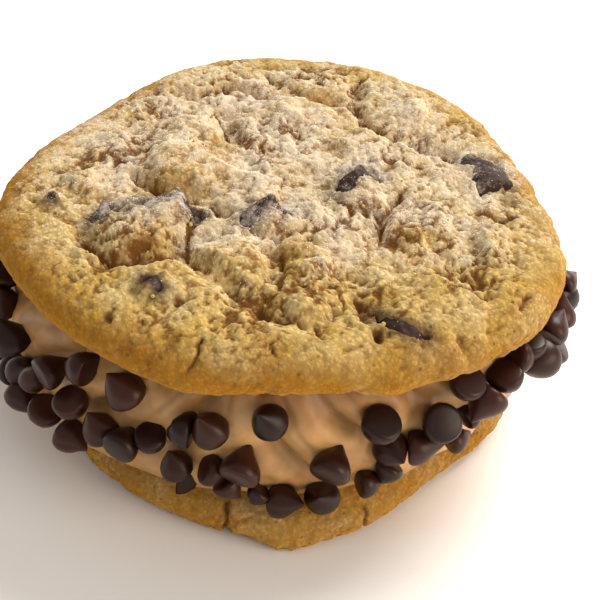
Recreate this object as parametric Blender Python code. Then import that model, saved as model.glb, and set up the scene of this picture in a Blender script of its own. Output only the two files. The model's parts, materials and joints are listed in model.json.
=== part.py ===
"""Chocolate-chip cookie sandwich: two cookies round a thick disc of piped cannoli cream.

Mini chocolate chips are pressed into the cream's side, and larger chips sit baked into
the top cookie. The sandwich lies flat, with +Z up, on its base at the origin.
"""

import math
import random

import bmesh
import bpy
from mathutils import Matrix, Vector, noise

MM = 0.001
GAP = 0.3 * MM

# Outlines are circles with a few waves, given as {waves round: (cosine, sine)} in millimetres.
BOTTOM_RADIUS = 44.8 * MM
BOTTOM_WAVES = {2: (-0.2, 0.2), 3: (0.2, 0.6), 4: (0.7, 0.0), 5: (0.4, -0.4), 6: (0.3, -0.7)}
TOP_RADIUS = 50.0 * MM
TOP_WAVES = {2: (0.1, 0.5), 3: (-0.4, -2.3), 4: (0.1, -0.3), 5: (-0.6, -0.5), 6: (0.3, -0.2)}

# Bottom cookie
BOTTOM_THICK = 9.0 * MM
BOTTOM_WIDEST = 4.4 * MM
BOTTOM_SHOULDER = 9.0 * MM
BOTTOM_FOOT = 4.0 * MM
BOTTOM_RINGS = 10
CRACK_AT = math.radians(-98)
CRACK_SIZE = Vector((8.0, 1.3, 20.0)) * MM

# Cream
CREAM_THICK = 27.0 * MM
CREAM_ACROSS = 51.2 * MM
CREAM_DEEP = 45.4 * MM
CREAM_SLIP = 5.0 * MM
CREAM_TUCK_BELOW = 2.2 * MM
CREAM_TUCK_ABOVE = 2.6 * MM
CREAM_ROUNDING = 1.6 * MM
CREAM_OVERHANG = 8.0 * MM
CREAM_COVERED_FROM = 0.87
CREAM_FOLDS = 17
FOLD_DEPTH = 1.7 * MM
FOLD_LEAN = math.radians(36)
FOLD_MEET = math.radians(-100)
CREAM_STEPS = 102
CREAM_ROWS = 8

# Top cookie
TOP_THICK = 9.0 * MM
TOP_WIDEST = 4.3 * MM
TOP_SHOULDER = 7.5 * MM
TOP_FOOT = 4.2 * MM
TOP_DOME = 2.2 * MM
TOP_RINGS = 18
RIM_TURNS = (30, 58, 90, 130, 180)
RIM_UNEVEN = 0.35 * MM
GRAIN_RISE = 1.2
GRAIN_ACROSS = 4.2
GRAIN_SUNK = 0.5
CRACK_WIDE = 1.7
RIM_KEEPS = 0.25

# Chocolate. A drop's rings are its radius and height, for a drop of radius 1 and height 1.
MINI_RINGS = ((0.82, 0.0), (1.0, 0.24), (0.58, 0.62))
MINI_SIDES = 6
MINI_RADIUS = 3.4 * MM
MINI_HEIGHT = 6.2 * MM
MINI_SUNK = 0.9 * MM
MINI_ROWS = (12.5 * MM, 19.5 * MM, 26.5 * MM)
MINI_ROW_STEP = math.radians(8.5)
MINI_ROWS_FROM = 3
MINI_ROWS_TO = 184
MINI_MISSING = 0.12
MINI_SEED = 7
CHIP_RINGS = ((0.84, 0.0), (1.0, 0.18), (0.88, 0.42), (0.5, 0.72))
CHIP_SIDES = 9

CREAM_BASE = BOTTOM_THICK + GAP
TOP_BASE = CREAM_BASE + CREAM_THICK + GAP
# Everything is moved by this, so that the sandwich's box is centred over the origin.
TO_CENTRE = Vector((1.26, -0.01, 0.0)) * MM

# The top crust's sizes from here on, and the grain and crack sizes above, are in millimetres.
# Lumps of the top crust: x, y, radius and height.
LUMPS = (
    (-20, 4, 9, 2.2), (-25, -15, 8, 2.0), (-9, -24, 7, 1.6), (-20, -35, 11, 1.6),
    (5, -23, 5, 1.3), (4, -33, 6, 1.2), (13, -2, 5, 2.2), (-3, -12, 5, 2.0),
    (27, -31, 9, 1.5), (24, -10, 9, 1.2), (0, 24, 9, 1.4), (-20, 16, 6, 1.2),
    (15, 13, 9, 1.4), (4, 37, 7, 1.2), (23, 30, 8, 1.5), (-23, 37, 8, 1.2),
    (38, -12, 7, 1.2), (38, -31, 6, 1.4), (-41, -12, 4, 1.2), (-34, 10, 6, 1.2),
)
# Cracks of the top crust: depth, then the points they run through.
CRACKS = (
    (2.0, (-33, 27), (-27, 31), (-20, 30), (-14, 34), (-5, 31), (11, 30), (15, 21), (31, 15)),
    (1.4, (12, 41), (12, 30)),
    (1.5, (-14, 23), (-11, 14)),
    (2.0, (-28, 0), (-22, -5), (-15, -5), (-11, -10)),
    (1.8, (-15, -12), (-17, -21)),
    (2.2, (-35, -19), (-28, -25), (-17, -22), (-8, -30), (-3, -35), (8, -38)),
    (1.6, (-1, -17), (0, -28)),
    (1.8, (21, 0), (17, -7), (17, -17)),
    (1.5, (13, -25), (16, -39)),
    (1.4, (27, -15), (36, -27)),
    (1.5, (30, -39), (40, -31)),
)
# Large chips baked into the top crust: x, y, how far the middle lies above the crust, width
# and length, then the way the tip points and its lean from upright in degrees.
BAKED_CHIPS = (
    (35.5, 11.5, -2.2, 9.5, 15.0, 118, 84),
    (13.0, 1.5, -2.2, 9.5, 8.0, 90, 35),
    (-3.5, -11.0, -2.6, 9.5, 8.5, 60, 25),
    (-20.5, -10.5, -2.6, 11.0, 9.0, 80, 60),
    (-31.5, -13.0, -2.2, 8.0, 7.0, 100, 30),
    (-20.5, -31.5, -2.9, 8.0, 7.5, 60, 50),
    (20.0, -36.0, -3.1, 10.5, 8.0, -128, 80),
    (-41.5, -9.5, -1.6, 6.0, 5.5, 90, 40),
)
# Mini chips of the side that is less full: azimuth in degrees, height in millimetres, the
# way the tip points (0 up, 90 right), how far it lifts off the cream in degrees, and size.
SHOWN_MINI_CHIPS = (
    (-179, 26, 200, 0, 1.0), (-168, 29, 200, 10, 1.0), (-164, 26, 20, 10, 1.0), (-165, 15, 0, 0, 1.0),
    (-153, 26, 345, 20, 1.1), (-156, 15, 250, 10, 1.0), (-150, 19, 40, 0, 0.9), (-145, 21, 20, 5, 0.8),
    (-139, 27, 0, -80, 1.0), (-133, 31, 270, 12, 1.0), (-147, 14, 100, 0, 1.0), (-139, 16, 200, 0, 1.0),
    (-132, 22, 175, -20, 1.0), (-131, 14, 90, 0, 1.0), (-125, 21, 340, 20, 1.0), (-118, 21, 0, -78, 1.0),
    (-122, 31, 335, 20, 1.1), (-113, 22, 180, -15, 0.9), (-108, 27, 270, 8, 1.0),
    (-102, 29, 345, 25, 1.0), (-91, 32, 330, 30, 1.0), (-107, 18, 340, 10, 0.9), (-103, 12, 90, 0, 0.7),
    (-98, 18, 120, -20, 0.9), (-93, 22, 30, -60, 1.1), (-94, 15, 140, 0, 0.8), (-88, 13, 220, 10, 0.7),
    (-81, 11, 70, 30, 1.0), (-74, 13, 330, 45, 1.0), (-75, 23, 50, -50, 1.1), (-64, 15, 90, 0, 0.8),
    (-67, 29, 190, -25, 1.1), (-62, 23, 0, 80, 1.0), (-61, 17, 220, 0, 0.8), (-56, 23, 80, 35, 1.0),
    (-54, 28, 160, -50, 1.1), (-45, 20, 80, 10, 0.8), (-44, 29, 235, 5, 1.1), (-38, 31, 165, 0, 1.0),
    (-42, 24, 70, 0, 0.8), (-48, 33, 180, -30, 1.0), (-33, 33, 120, 20, 1.0), (-28, 30, 275, 0, 1.2),
    (-18, 26, 200, -45, 1.1), (-20, 33, 60, 10, 1.0), (-30, 33, 180, 0, 1.0), (-12, 31, 20, 0, 1.0),
    (-5, 33, 80, 30, 0.9), (-4, 20, 0, 10, 1.0), (-8, 31, 300, 0, 1.0),
)


def smooth(low, high, value):
    share = min(1.0, max(0.0, (value - low) / (high - low)))
    return share * share * (3 - 2 * share)


def wave(angle, waves):
    """How far an outline stands out of its circle at this angle."""
    waved = sum(c * math.cos(k * angle) + s * math.sin(k * angle) for k, (c, s) in waves.items())
    return waved * MM


def top_edge(angle):
    return TOP_RADIUS + wave(angle, TOP_WAVES)


def bottom_edge(angle):
    return BOTTOM_RADIUS + wave(angle, BOTTOM_WAVES)


def on_circle(angle, reach, height=0.0):
    return Vector((reach * math.cos(angle), reach * math.sin(angle), height))


def off_segment(x, y, start, end):
    """Distance of a point from a straight piece of crack."""
    dx, dy = end[0] - start[0], end[1] - start[1]
    share = ((x - start[0]) * dx + (y - start[1]) * dy) / (dx * dx + dy * dy)
    share = min(1.0, max(0.0, share))
    return math.hypot(x - start[0] - share * dx, y - start[1] - share * dy)


def crust_relief(x, y):
    """Height of the top crust's lumps and cracks over its plain dome."""
    x, y = x / MM, y / MM
    height = GRAIN_RISE * noise.noise(Vector((x, y, 3.0)) / GRAIN_ACROSS) - GRAIN_SUNK
    for lump_x, lump_y, radius, rise in LUMPS:
        reach = math.hypot(x - lump_x, y - lump_y) / radius
        height += rise * max(0.0, 1 - reach * reach)
    for depth, *points in CRACKS:
        near = min(off_segment(x, y, start, end) for start, end in zip(points, points[1:]))
        height -= depth * math.exp(-((near / CRACK_WIDE) ** 2))
    return height * MM


def top_height(x, y):
    """The top crust's dome with its relief, which fades out at the rim."""
    share = math.hypot(x, y) / (top_edge(math.atan2(y, x)) - TOP_SHOULDER)
    dome = TOP_DOME * max(0.0, 1 - share * share)
    return dome + (1 - (1 - RIM_KEEPS) * smooth(0.86, 1.0, share)) * crust_relief(x, y)


def bottom_height(x, y):
    """The bottom cookie is flat under the cream and sinks a little at its edge."""
    share = math.hypot(x, y) / (bottom_edge(math.atan2(y, x)) - BOTTOM_SHOULDER)
    uneven = 1 + noise.noise(Vector((x, y, 0)) / (6 * MM))
    return -0.5 * MM * smooth(0.8, 1.0, share) * uneven


def add_object(name, shape, material):
    """Turns a bmesh into a named object with its material and smooth shading."""
    bmesh.ops.recalc_face_normals(shape, faces=shape.faces)
    mesh = bpy.data.meshes.new(name)
    shape.to_mesh(mesh)
    shape.free()
    mesh.shade_smooth()
    mesh.materials.append(material)
    made = bpy.data.objects.new(name, mesh)
    bpy.context.scene.collection.objects.link(made)
    return made


def add_material(name, colour, roughness):
    material = bpy.data.materials.new(name)
    material.use_nodes = True
    shader = material.node_tree.nodes["Principled BSDF"]
    shader.inputs["Base Color"].default_value = (*colour, 1)
    shader.inputs["Roughness"].default_value = roughness
    shader.inputs["Metallic"].default_value = 0
    return material


def add_ring(shape, above, points):
    """A ring of points, joined by faces to the ring above it."""
    ring = [shape.verts.new(point) for point in points]
    for i, vert in enumerate(above):
        after = (i + 1) % len(above)
        shape.faces.new((vert, ring[i], ring[after], above[after]))
    return ring


def ringed_disc(shape, rings, place):
    """A disc of even triangles. place(share, angle) gives each point. Returns the outer ring."""
    inner = [shape.verts.new(place(0.0, 0.0))]
    for ring in range(1, rings + 1):
        count = 6 * ring
        outer = [shape.verts.new(place(ring / rings, math.tau * i / count)) for i in range(count)]
        for sector in range(6):
            for step in range(ring):
                here = sector * ring + step
                below = sector * (ring - 1) + step
                corner = inner[below % len(inner)]
                shape.faces.new((outer[here], outer[(here + 1) % count], corner))
                if step:
                    shape.faces.new((outer[here], corner, inner[below - 1]))
        inner = outer
    return inner


def add_cookie(name, material, edge, height, base, thick, widest, shoulder, foot, rings):
    """A cookie with a sloping shoulder, its widest line at the side and a curved foot."""
    shape = bmesh.new()

    def on_top(share, angle):
        place = on_circle(angle, share * (edge(angle) - shoulder), base + thick)
        place.z += height(place.x, place.y)
        return place

    def on_rim(angle, turn):
        slope = math.radians(turn)
        uneven = RIM_UNEVEN * noise.noise(on_circle(angle, 14.0, turn / 30.0))
        if turn < 90:
            place = on_circle(angle, edge(angle) - shoulder * (1 - math.sin(slope)) + uneven)
            place.z = base + widest + (thick - widest) * math.cos(slope)
            place.z += (1 - turn / 90) * height(place.x, place.y)
        else:
            place = on_circle(angle, edge(angle) - foot * (1 - math.sin(slope)) + uneven)
            place.z = base + widest * (1 + math.cos(slope))
        return place

    ring = ringed_disc(shape, rings, on_top)
    for turn in RIM_TURNS:
        ring = add_ring(shape, ring, [on_rim(math.tau * i / len(ring), turn) for i in range(len(ring))])
    shape.faces.new(ring)
    return add_object(name, shape, material)


def cream_point(angle, height):
    """A point of the cream's side at an azimuth and a height over its base, folds included."""
    share = height / CREAM_THICK
    oval = 1 / math.hypot(math.cos(angle) / CREAM_ACROSS, math.sin(angle) / CREAM_DEEP)
    tuck = CREAM_TUCK_BELOW * (1 - share) ** 2 + CREAM_TUCK_ABOVE * share**4
    lean = FOLD_LEAN * (share - 0.5) * math.sin(angle - FOLD_MEET)
    crest = abs(math.sin(CREAM_FOLDS * (angle + lean) / 2)) ** 0.7 - 0.75
    fade = math.sin(math.pi * (0.12 + 0.76 * share))
    sag = 0.8 * MM * noise.noise(on_circle(angle, 3.0, 2 * share))
    sag -= CREAM_ROUNDING * ((1 - share) ** 9 + share**9)
    covered = top_edge(angle) + CREAM_OVERHANG * (CREAM_COVERED_FROM - share)
    reach = min(covered, oval - tuck + sag + FOLD_DEPTH * crest * fade)
    place = on_circle(angle, reach, CREAM_BASE + height)
    place.x += CREAM_SLIP * (share - 0.7)
    return place


def add_cream_disc(material):
    """The whole filling, a disc right through the sandwich with its piped folds at the side."""
    shape = bmesh.new()
    turns = [math.tau * i / CREAM_STEPS for i in range(CREAM_STEPS)]
    ring = [shape.verts.new(cream_point(angle, 0)) for angle in turns]
    shape.faces.new(ring)
    for level in range(1, CREAM_ROWS + 1):
        height = CREAM_THICK * level / CREAM_ROWS
        ring = add_ring(shape, ring, [cream_point(angle, height) for angle in turns])
    shape.faces.new(ring)
    return add_object("cream", shape, material)


def drop_mesh(sides, rings):
    """One chocolate drop of radius 1 and height 1: flat base, round belly and pointed tip."""
    shape = bmesh.new()
    turns = [math.tau * i / sides for i in range(sides)]
    ring = [shape.verts.new(on_circle(angle, *rings[0])) for angle in turns]
    shape.faces.new(ring)
    for sizes in rings[1:]:
        ring = add_ring(shape, ring, [on_circle(angle, *sizes) for angle in turns])
    tip = shape.verts.new((0, 0, 1))
    for i, vert in enumerate(ring):
        shape.faces.new((vert, tip, ring[(i + 1) % sides]))
    bmesh.ops.recalc_face_normals(shape, faces=shape.faces)
    mesh = bpy.data.meshes.new("chocolate drop")
    shape.to_mesh(mesh)
    shape.free()
    return mesh


def placed_copy(mesh, name, material, matrix):
    copy = mesh.copy()
    copy.transform(matrix)
    copy.materials.append(material)
    made = bpy.data.objects.new(name, copy)
    bpy.context.scene.collection.objects.link(made)
    return made


def mini_chip_matrix(angle, height, turn, lift, size):
    """Sets a mini chip on the cream, its tip turned along the surface and lifted off it."""
    out = on_circle(angle, 1.0)
    flat = Vector((0, 0, math.cos(turn))) + Vector((-out.y, out.x, 0)) * math.sin(turn)
    axis = flat * math.cos(lift) + out * math.sin(lift)
    radius, tall = MINI_RADIUS * size, MINI_HEIGHT * size
    middle = cream_point(angle, height - CREAM_BASE) + out * radius
    turned = axis.to_track_quat("Z", "Y").to_matrix().to_4x4()
    scale = Matrix.Diagonal((radius, radius, tall, 1))
    return Matrix.Translation(middle) @ turned @ scale @ Matrix.Translation((0, 0, -0.4))


def mini_chip_places():
    """Azimuth, height, turn, lift and size of every mini chip, all round the cream."""
    draw = random.Random(MINI_SEED)
    for degrees, height, turn, lift, size in SHOWN_MINI_CHIPS:
        yield math.radians(degrees), height * MM, math.radians(turn), math.radians(lift), size
    for row, height in enumerate(MINI_ROWS):
        angle = math.radians(MINI_ROWS_FROM + 4 * row)
        while angle < math.radians(MINI_ROWS_TO):
            if draw.random() > MINI_MISSING:
                turn, lift = draw.uniform(0, math.tau), draw.uniform(-1.2, 1.0)
                raised = draw.uniform(-1.5, 2.0) * MM
                yield angle, height + raised, turn, lift, draw.uniform(0.9, 1.08)
            angle += MINI_ROW_STEP * draw.uniform(0.9, 1.1)


def floor_under(point):
    """Height of the bottom cookie's crust under a point, or 0 beyond its edge."""
    reach = math.hypot(point.x, point.y)
    edge = bottom_edge(math.atan2(point.y, point.x)) + 2 * GAP
    share = max(0.0, (reach - edge + BOTTOM_SHOULDER) / BOTTOM_SHOULDER)
    if share >= 1:
        return 0.0
    return BOTTOM_WIDEST + (BOTTOM_THICK - BOTTOM_WIDEST) * math.sqrt(1 - share * share)


def off_cream(point):
    """How far a point stands out of the cream's side."""
    height = min(CREAM_THICK, max(0.0, point.z - CREAM_BASE))
    side = cream_point(math.atan2(point.y, point.x), height)
    return math.hypot(point.x, point.y) - math.hypot(side.x, side.y)


def settle(chip, angle):
    """Moves a mini chip until it is a little sunk in the cream and clears both cookies."""
    for _ in range(3):
        points = [vert.co for vert in chip.data.vertices]
        rise = max(floor_under(point) + 2 * GAP - point.z for point in points)
        drop = max(point.z - TOP_BASE + GAP for point in points)
        chip.data.transform(Matrix.Translation((0, 0, max(0, rise) - max(0, drop))))
        stand_out = min(off_cream(vert.co) for vert in chip.data.vertices)
        chip.data.transform(Matrix.Translation(on_circle(angle, -stand_out - MINI_SUNK)))


def apply_modifiers(made):
    graph = bpy.context.evaluated_depsgraph_get()
    mesh = bpy.data.meshes.new_from_object(made.evaluated_get(graph))
    made.modifiers.clear()
    made.data = mesh


def fuse(made, pieces):
    """One Boolean union of the object with all the pieces, which are then removed."""
    group = bpy.data.collections.new(made.name + " pieces")
    bpy.context.scene.collection.children.link(group)
    for piece in pieces:
        bpy.context.scene.collection.objects.unlink(piece)
        group.objects.link(piece)
    union = made.modifiers.new("Fused pieces", "BOOLEAN")
    union.operation = "UNION"
    union.operand_type = "COLLECTION"
    union.collection = group
    union.solver = "MANIFOLD"
    apply_modifiers(made)
    for piece in list(group.objects):
        bpy.data.objects.remove(piece)
    bpy.data.collections.remove(group)


def cut(made, cutter):
    """Cuts a pocket or a crack out of an object, and removes the cutter."""
    pocket = made.modifiers.new("Pocket", "BOOLEAN")
    pocket.operation = "DIFFERENCE"
    pocket.object = cutter
    pocket.solver = "EXACT"
    apply_modifiers(made)
    bpy.data.objects.remove(cutter)


def add_cream(cream_look, chocolate_look):
    """The filling with all its mini chips fused on."""
    made = add_cream_disc(cream_look)
    drop = drop_mesh(MINI_SIDES, MINI_RINGS)
    chips = []
    for facts in mini_chip_places():
        chip = placed_copy(drop, "mini chip", chocolate_look, mini_chip_matrix(*facts))
        settle(chip, facts[0])
        chips.append(chip)
    fuse(made, chips)


def baked_chip_matrix(x, y, above, wide, long, turn, lean, room=0.0):
    """Places a large chip in the top crust, with some room round it when it is a cutter."""
    middle = Vector((x, y, above)) * MM
    middle.z += TOP_BASE + TOP_THICK + top_height(middle.x, middle.y)
    turned = Matrix.Rotation(math.radians(turn), 4, "Z") @ Matrix.Rotation(math.radians(lean), 4, "Y")
    radius = wide * MM / 2 + room
    scale = Matrix.Diagonal((radius, radius, long * MM + 2 * room, 1))
    return Matrix.Translation(middle) @ turned @ scale @ Matrix.Translation((0, 0, -0.45))


def add_baked_chips(top, material):
    """The large chips of the top crust, each in its own pocket."""
    drop = drop_mesh(CHIP_SIDES, CHIP_RINGS)
    for number, facts in enumerate(BAKED_CHIPS, 1):
        cut(top, placed_copy(drop, "pocket", material, baked_chip_matrix(*facts, room=1.4 * GAP)))
        chip = placed_copy(drop, f"baked_chip_{number}", material, baked_chip_matrix(*facts))
        chip.data.shade_smooth()


def add_crack(bottom):
    """The short crack in the bottom cookie's front edge."""
    shape = bmesh.new()
    bmesh.ops.create_cube(shape, size=1)
    bmesh.ops.scale(shape, vec=CRACK_SIZE, verts=shape.verts)
    bmesh.ops.rotate(shape, matrix=Matrix.Rotation(math.radians(45), 3, "Z"), verts=shape.verts)
    bmesh.ops.scale(shape, vec=(1, 0.18, 1), verts=shape.verts)
    bmesh.ops.rotate(shape, matrix=Matrix.Rotation(CRACK_AT, 3, "Z"), verts=shape.verts)
    bmesh.ops.translate(shape, vec=on_circle(CRACK_AT, bottom_edge(CRACK_AT)), verts=shape.verts)
    cut(bottom, add_object("crack", shape, bottom.data.materials[0]))


def build():
    for old in list(bpy.data.objects):
        bpy.data.objects.remove(old)
    crust = add_material("golden crust", (0.55, 0.33, 0.10), 0.85)
    cream = add_material("cannoli cream", (0.72, 0.55, 0.40), 0.45)
    chocolate = add_material("dark chocolate", (0.03, 0.012, 0.008), 0.35)
    bottom = add_cookie(
        "cookie_bottom", crust, bottom_edge, bottom_height, 0.0, BOTTOM_THICK,
        BOTTOM_WIDEST, BOTTOM_SHOULDER, BOTTOM_FOOT, BOTTOM_RINGS,
    )
    add_crack(bottom)
    add_cream(cream, chocolate)
    top = add_cookie(
        "cookie_top", crust, top_edge, top_height, TOP_BASE, TOP_THICK,
        TOP_WIDEST, TOP_SHOULDER, TOP_FOOT, TOP_RINGS,
    )
    add_baked_chips(top, chocolate)
    for made in bpy.data.objects:
        made.data.transform(Matrix.Translation(TO_CENTRE))


build()
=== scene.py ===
"""Cookie cannoli: two chocolate-chip cookies round a thick disc of piped cream.

It is laid out as an add-on: settings, one operator for each piece, and a panel that lists
them.
"""

import json
import math
import random

import bmesh
import bpy
import numpy as np
from bpy.props import FloatProperty, FloatVectorProperty, IntProperty, PointerProperty
from mathutils import Matrix, Vector, noise
from mathutils.bvhtree import BVHTree

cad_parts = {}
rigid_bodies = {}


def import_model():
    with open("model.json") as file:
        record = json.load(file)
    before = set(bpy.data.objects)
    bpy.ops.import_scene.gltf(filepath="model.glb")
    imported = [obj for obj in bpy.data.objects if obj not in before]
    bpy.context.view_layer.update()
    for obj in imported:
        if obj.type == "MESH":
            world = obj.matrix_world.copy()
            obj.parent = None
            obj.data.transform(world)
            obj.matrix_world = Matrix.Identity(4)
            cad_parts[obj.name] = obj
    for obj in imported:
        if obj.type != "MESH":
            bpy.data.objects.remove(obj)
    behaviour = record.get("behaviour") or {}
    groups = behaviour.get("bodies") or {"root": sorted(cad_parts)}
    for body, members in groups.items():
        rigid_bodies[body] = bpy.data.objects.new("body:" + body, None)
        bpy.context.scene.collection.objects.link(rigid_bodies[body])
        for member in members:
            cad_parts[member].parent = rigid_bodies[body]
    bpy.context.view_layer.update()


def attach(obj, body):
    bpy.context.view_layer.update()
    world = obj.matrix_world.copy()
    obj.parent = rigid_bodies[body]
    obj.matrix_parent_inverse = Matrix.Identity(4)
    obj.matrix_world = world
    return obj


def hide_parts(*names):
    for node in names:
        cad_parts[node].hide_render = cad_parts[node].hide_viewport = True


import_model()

bl_info = {
    "name": "Cookie Cannoli",
    "version": (1, 0, 0),
    "blender": (4, 5, 0),
    "location": "View3D > Sidebar > Cookie",
    "description": "Builds a chocolate-chip cookie sandwich with piped cream and mini chips",
    "category": "Add Mesh",
}

MM = 0.001
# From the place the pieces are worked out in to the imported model's, in millimetres.
TO_CENTRE = np.array((1.26, -0.01, 0.0))

# ---------------------------------------------------------------------------
# Sizes of the cookies, in millimetres unless a name says otherwise
# ---------------------------------------------------------------------------
# Each rim's waves give a cosine and a sine for how often they go round. Each side is rounded
# from its shoulder to its widest height and in again to its foot and tuck, and its bands are the
# shares of the sheet where the crown, the side and the foot end.
GAP = 0.3
TOP_RADIUS = 50.0
TOP_WAVES = {2: (0.1, 0.5), 3: (-0.4, -2.3), 4: (0.1, -0.3), 5: (-0.6, -0.5), 6: (0.3, -0.2)}
TOP = {"thick": 9.0, "widest": 4.3, "shoulder": 7.5, "foot": 4.2, "tuck": 9.0}
TOP_BANDS = (0.652, 0.806, 0.895)
TOP_DOME = 2.2
TOP_RINGS = 168
CRACK_WIDE = 1.7
CRACK_STRAY = 1.7
LUMP_SWELL = 1.25
BOTTOM_RADIUS = 44.8
BOTTOM_WAVES = {2: (-0.2, 0.2), 3: (0.2, 0.6), 4: (0.7, 0.0), 5: (0.4, -0.4), 6: (0.3, -0.7)}
BOTTOM = {"thick": 9.0, "widest": 4.4, "shoulder": 9.0, "foot": 4.0, "tuck": 3.0}
BOTTOM_BANDS = (0.62, 0.82, 0.945)
BOTTOM_RINGS = 140
CREAM_THICK = 27.0
CREAM_ACROSS = 51.2
CREAM_DEEP = 45.4
CREAM_SLIP = 5.0
CREAM_TUCK_BELOW = 2.2
CREAM_TUCK_ABOVE = 2.6
CREAM_ROUNDING = 1.6
CREAM_OVERHANG = 8.0
CREAM_COVERED_FROM = 0.87
CREAM_FOLDS = 17
CREAM_GROOVES = 68
CREAM_STEPS = 660
CREAM_ROWS = 60
FOLD_DEPTH = 1.7
FOLD_LEAN = math.radians(36)
FOLD_MEET = math.radians(-100)
CREAM_BASE = BOTTOM["thick"] + GAP
TOP_BASE = CREAM_BASE + CREAM_THICK + GAP

# Relief of the crusts: how far across each kind is, and how high.
SOFT_LUMPS = (4.6, 0.9)
COARSE_CRUMBS = (2.4, 0.75)
FINE_CRUMBS = (1.15, 0.62)
RIM_LOBES = (7.5, 1.5)
# Crevices between lumps: how far across the lumps are, and how wide the crevices.
TOP_CREVICES = (6.0, 0.42)
BOTTOM_CREVICES = (4.5, 0.35)
# Cracks in the bottom cookie's side: azimuth and spread in degrees, depth, then how far the skin
# has turned over in degrees where each crack starts and where it is at its full depth.
BOTTOM_CRACKS = ((-98, 0.7, 1.0, 25, 60), (-66, 0.6, 0.7, 40, 70))
# The flaky ledge beside them: azimuth and spread, then where it starts and is at its full width.
BOTTOM_LEDGE = (-84, 5.5, 70, 120)
# Icing sugar lies round this middle out to these radii, and thins out towards the front.
SUGAR_MIDDLE = (-1, 6)
SUGAR_RADII = (51, 45)
SUGAR_FRONT = (-12, -35)
# Clumps on a fully dusted large chip, and their size beside the crust's.
CHIP_CLUMPS = 420
CHIP_CLUMP_SIZE = 0.6

# Lumps of the top crust: x, y, radius and height.
LUMPS = (
    (-20, 4, 9, 2.2), (-25, -15, 8, 2.0), (-9, -24, 7, 1.6), (-20, -35, 11, 1.6),
    (5, -23, 5, 1.3), (4, -33, 6, 1.2), (13, -2, 5, 2.2), (-3, -12, 5, 2.0),
    (27, -31, 9, 1.5), (24, -10, 9, 1.2), (0, 24, 9, 1.4), (-20, 16, 6, 1.2),
    (15, 13, 9, 1.4), (4, 37, 7, 1.2), (23, 30, 8, 1.5), (-23, 37, 8, 1.2),
    (38, -12, 7, 1.2), (38, -31, 6, 1.4), (-41, -12, 4, 1.2), (-34, 10, 6, 1.2),
)
# Cracks of the top crust: depth, then the points they run through.
CRACKS = (
    (2.0, (-33, 27), (-27, 31), (-20, 30), (-14, 34), (-5, 31), (11, 30), (15, 21), (31, 15)),
    (1.4, (12, 41), (12, 30)),
    (1.5, (-14, 23), (-11, 14)),
    (2.0, (-28, 0), (-22, -5), (-15, -5), (-11, -10)),
    (1.8, (-15, -12), (-17, -21)),
    (2.2, (-35, -19), (-28, -25), (-17, -22), (-8, -30), (-3, -35), (8, -38)),
    (1.6, (-1, -17), (0, -28)),
    (1.8, (21, 0), (17, -7), (17, -17)),
    (1.5, (13, -25), (16, -39)),
    (1.4, (27, -15), (36, -27)),
    (1.5, (30, -39), (40, -31)),
)
# Hairline cracks and small pits that only the fine crust has: depth, width, points.
HAIRLINES = (
    (0.6, 0.5, (-7, 40), (-4, 36), (-7, 32)),
    (0.9, 0.45, (12.5, 41), (10, 36), (12.5, 30.5)),
    (1.3, 0.5, (14, 25), (17, 20), (24, 17), (31, 15.5)),
    (1.2, 0.4, (-16, 23), (-13, 18), (-12, 14)),
    (1.3, 0.45, (-16, -13), (-16.5, -17), (-16, -21)),
    (1.4, 0.45, (20.5, 1), (19, -3), (17, -8), (17, -13)),
    (1.0, 0.4, (0, -20), (0.5, -25), (0, -30)),
    (1.0, 0.4, (13, -29), (14.5, -34)),
    (2.4, 0.8, (16.8, -37.9), (16.9, -39.2)),
    (1.4, 0.7, (-27.4, -38.5), (-27.2, -39.2)),
    (1.5, 0.3, (-11.6, -43.2), (-12.2, -44.0), (-11.9, -45.2), (-13.4, -47.0)),
    (0.9, 0.3, (0.6, -41.0), (-0.6, -43.2), (0.2, -44.6)),
    (0.6, 0.35, (14.4, -41.4), (12.6, -42.0), (11.4, -43.2)),
    (0.8, 0.4, (-16.5, -35.4), (-14.0, -34.6)),
    (1.0, 0.4, (30.5, -37), (31.5, -38)),
    (1.4, 0.5, (41, -27.5), (42.5, -25)),
    (1.0, 0.4, (6.5, -37), (8, -41)),
    (1.0, 0.4, (-34, -19), (-29, -24), (-22, -24)),
    (0.9, 0.4, (34, -3), (38, -4), (42, -3)),
    (0.9, 0.4, (27, -21), (31, -26)),
)
# Large chips baked into the top crust: x, y, how far the middle lies above the crust, width
# and length, then the way the tip points and its lean from upright in degrees.
BAKED_CHIPS = (
    (35.5, 11.5, -2.2, 9.5, 15.0, 118, 84),
    (13.0, 1.5, -2.2, 9.5, 8.0, 90, 35),
    (-3.5, -11.0, -2.6, 9.5, 8.5, 60, 25),
    (-20.5, -10.5, -2.6, 11.0, 9.0, 80, 60),
    (-31.5, -13.0, -2.2, 8.0, 7.0, 100, 30),
    (-20.5, -31.5, -2.9, 8.0, 7.5, 60, 50),
    (20.0, -36.0, -3.7, 10.5, 8.0, -128, 80),
    (-41.5, -9.5, -1.6, 6.0, 5.5, 90, 40),
)
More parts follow.
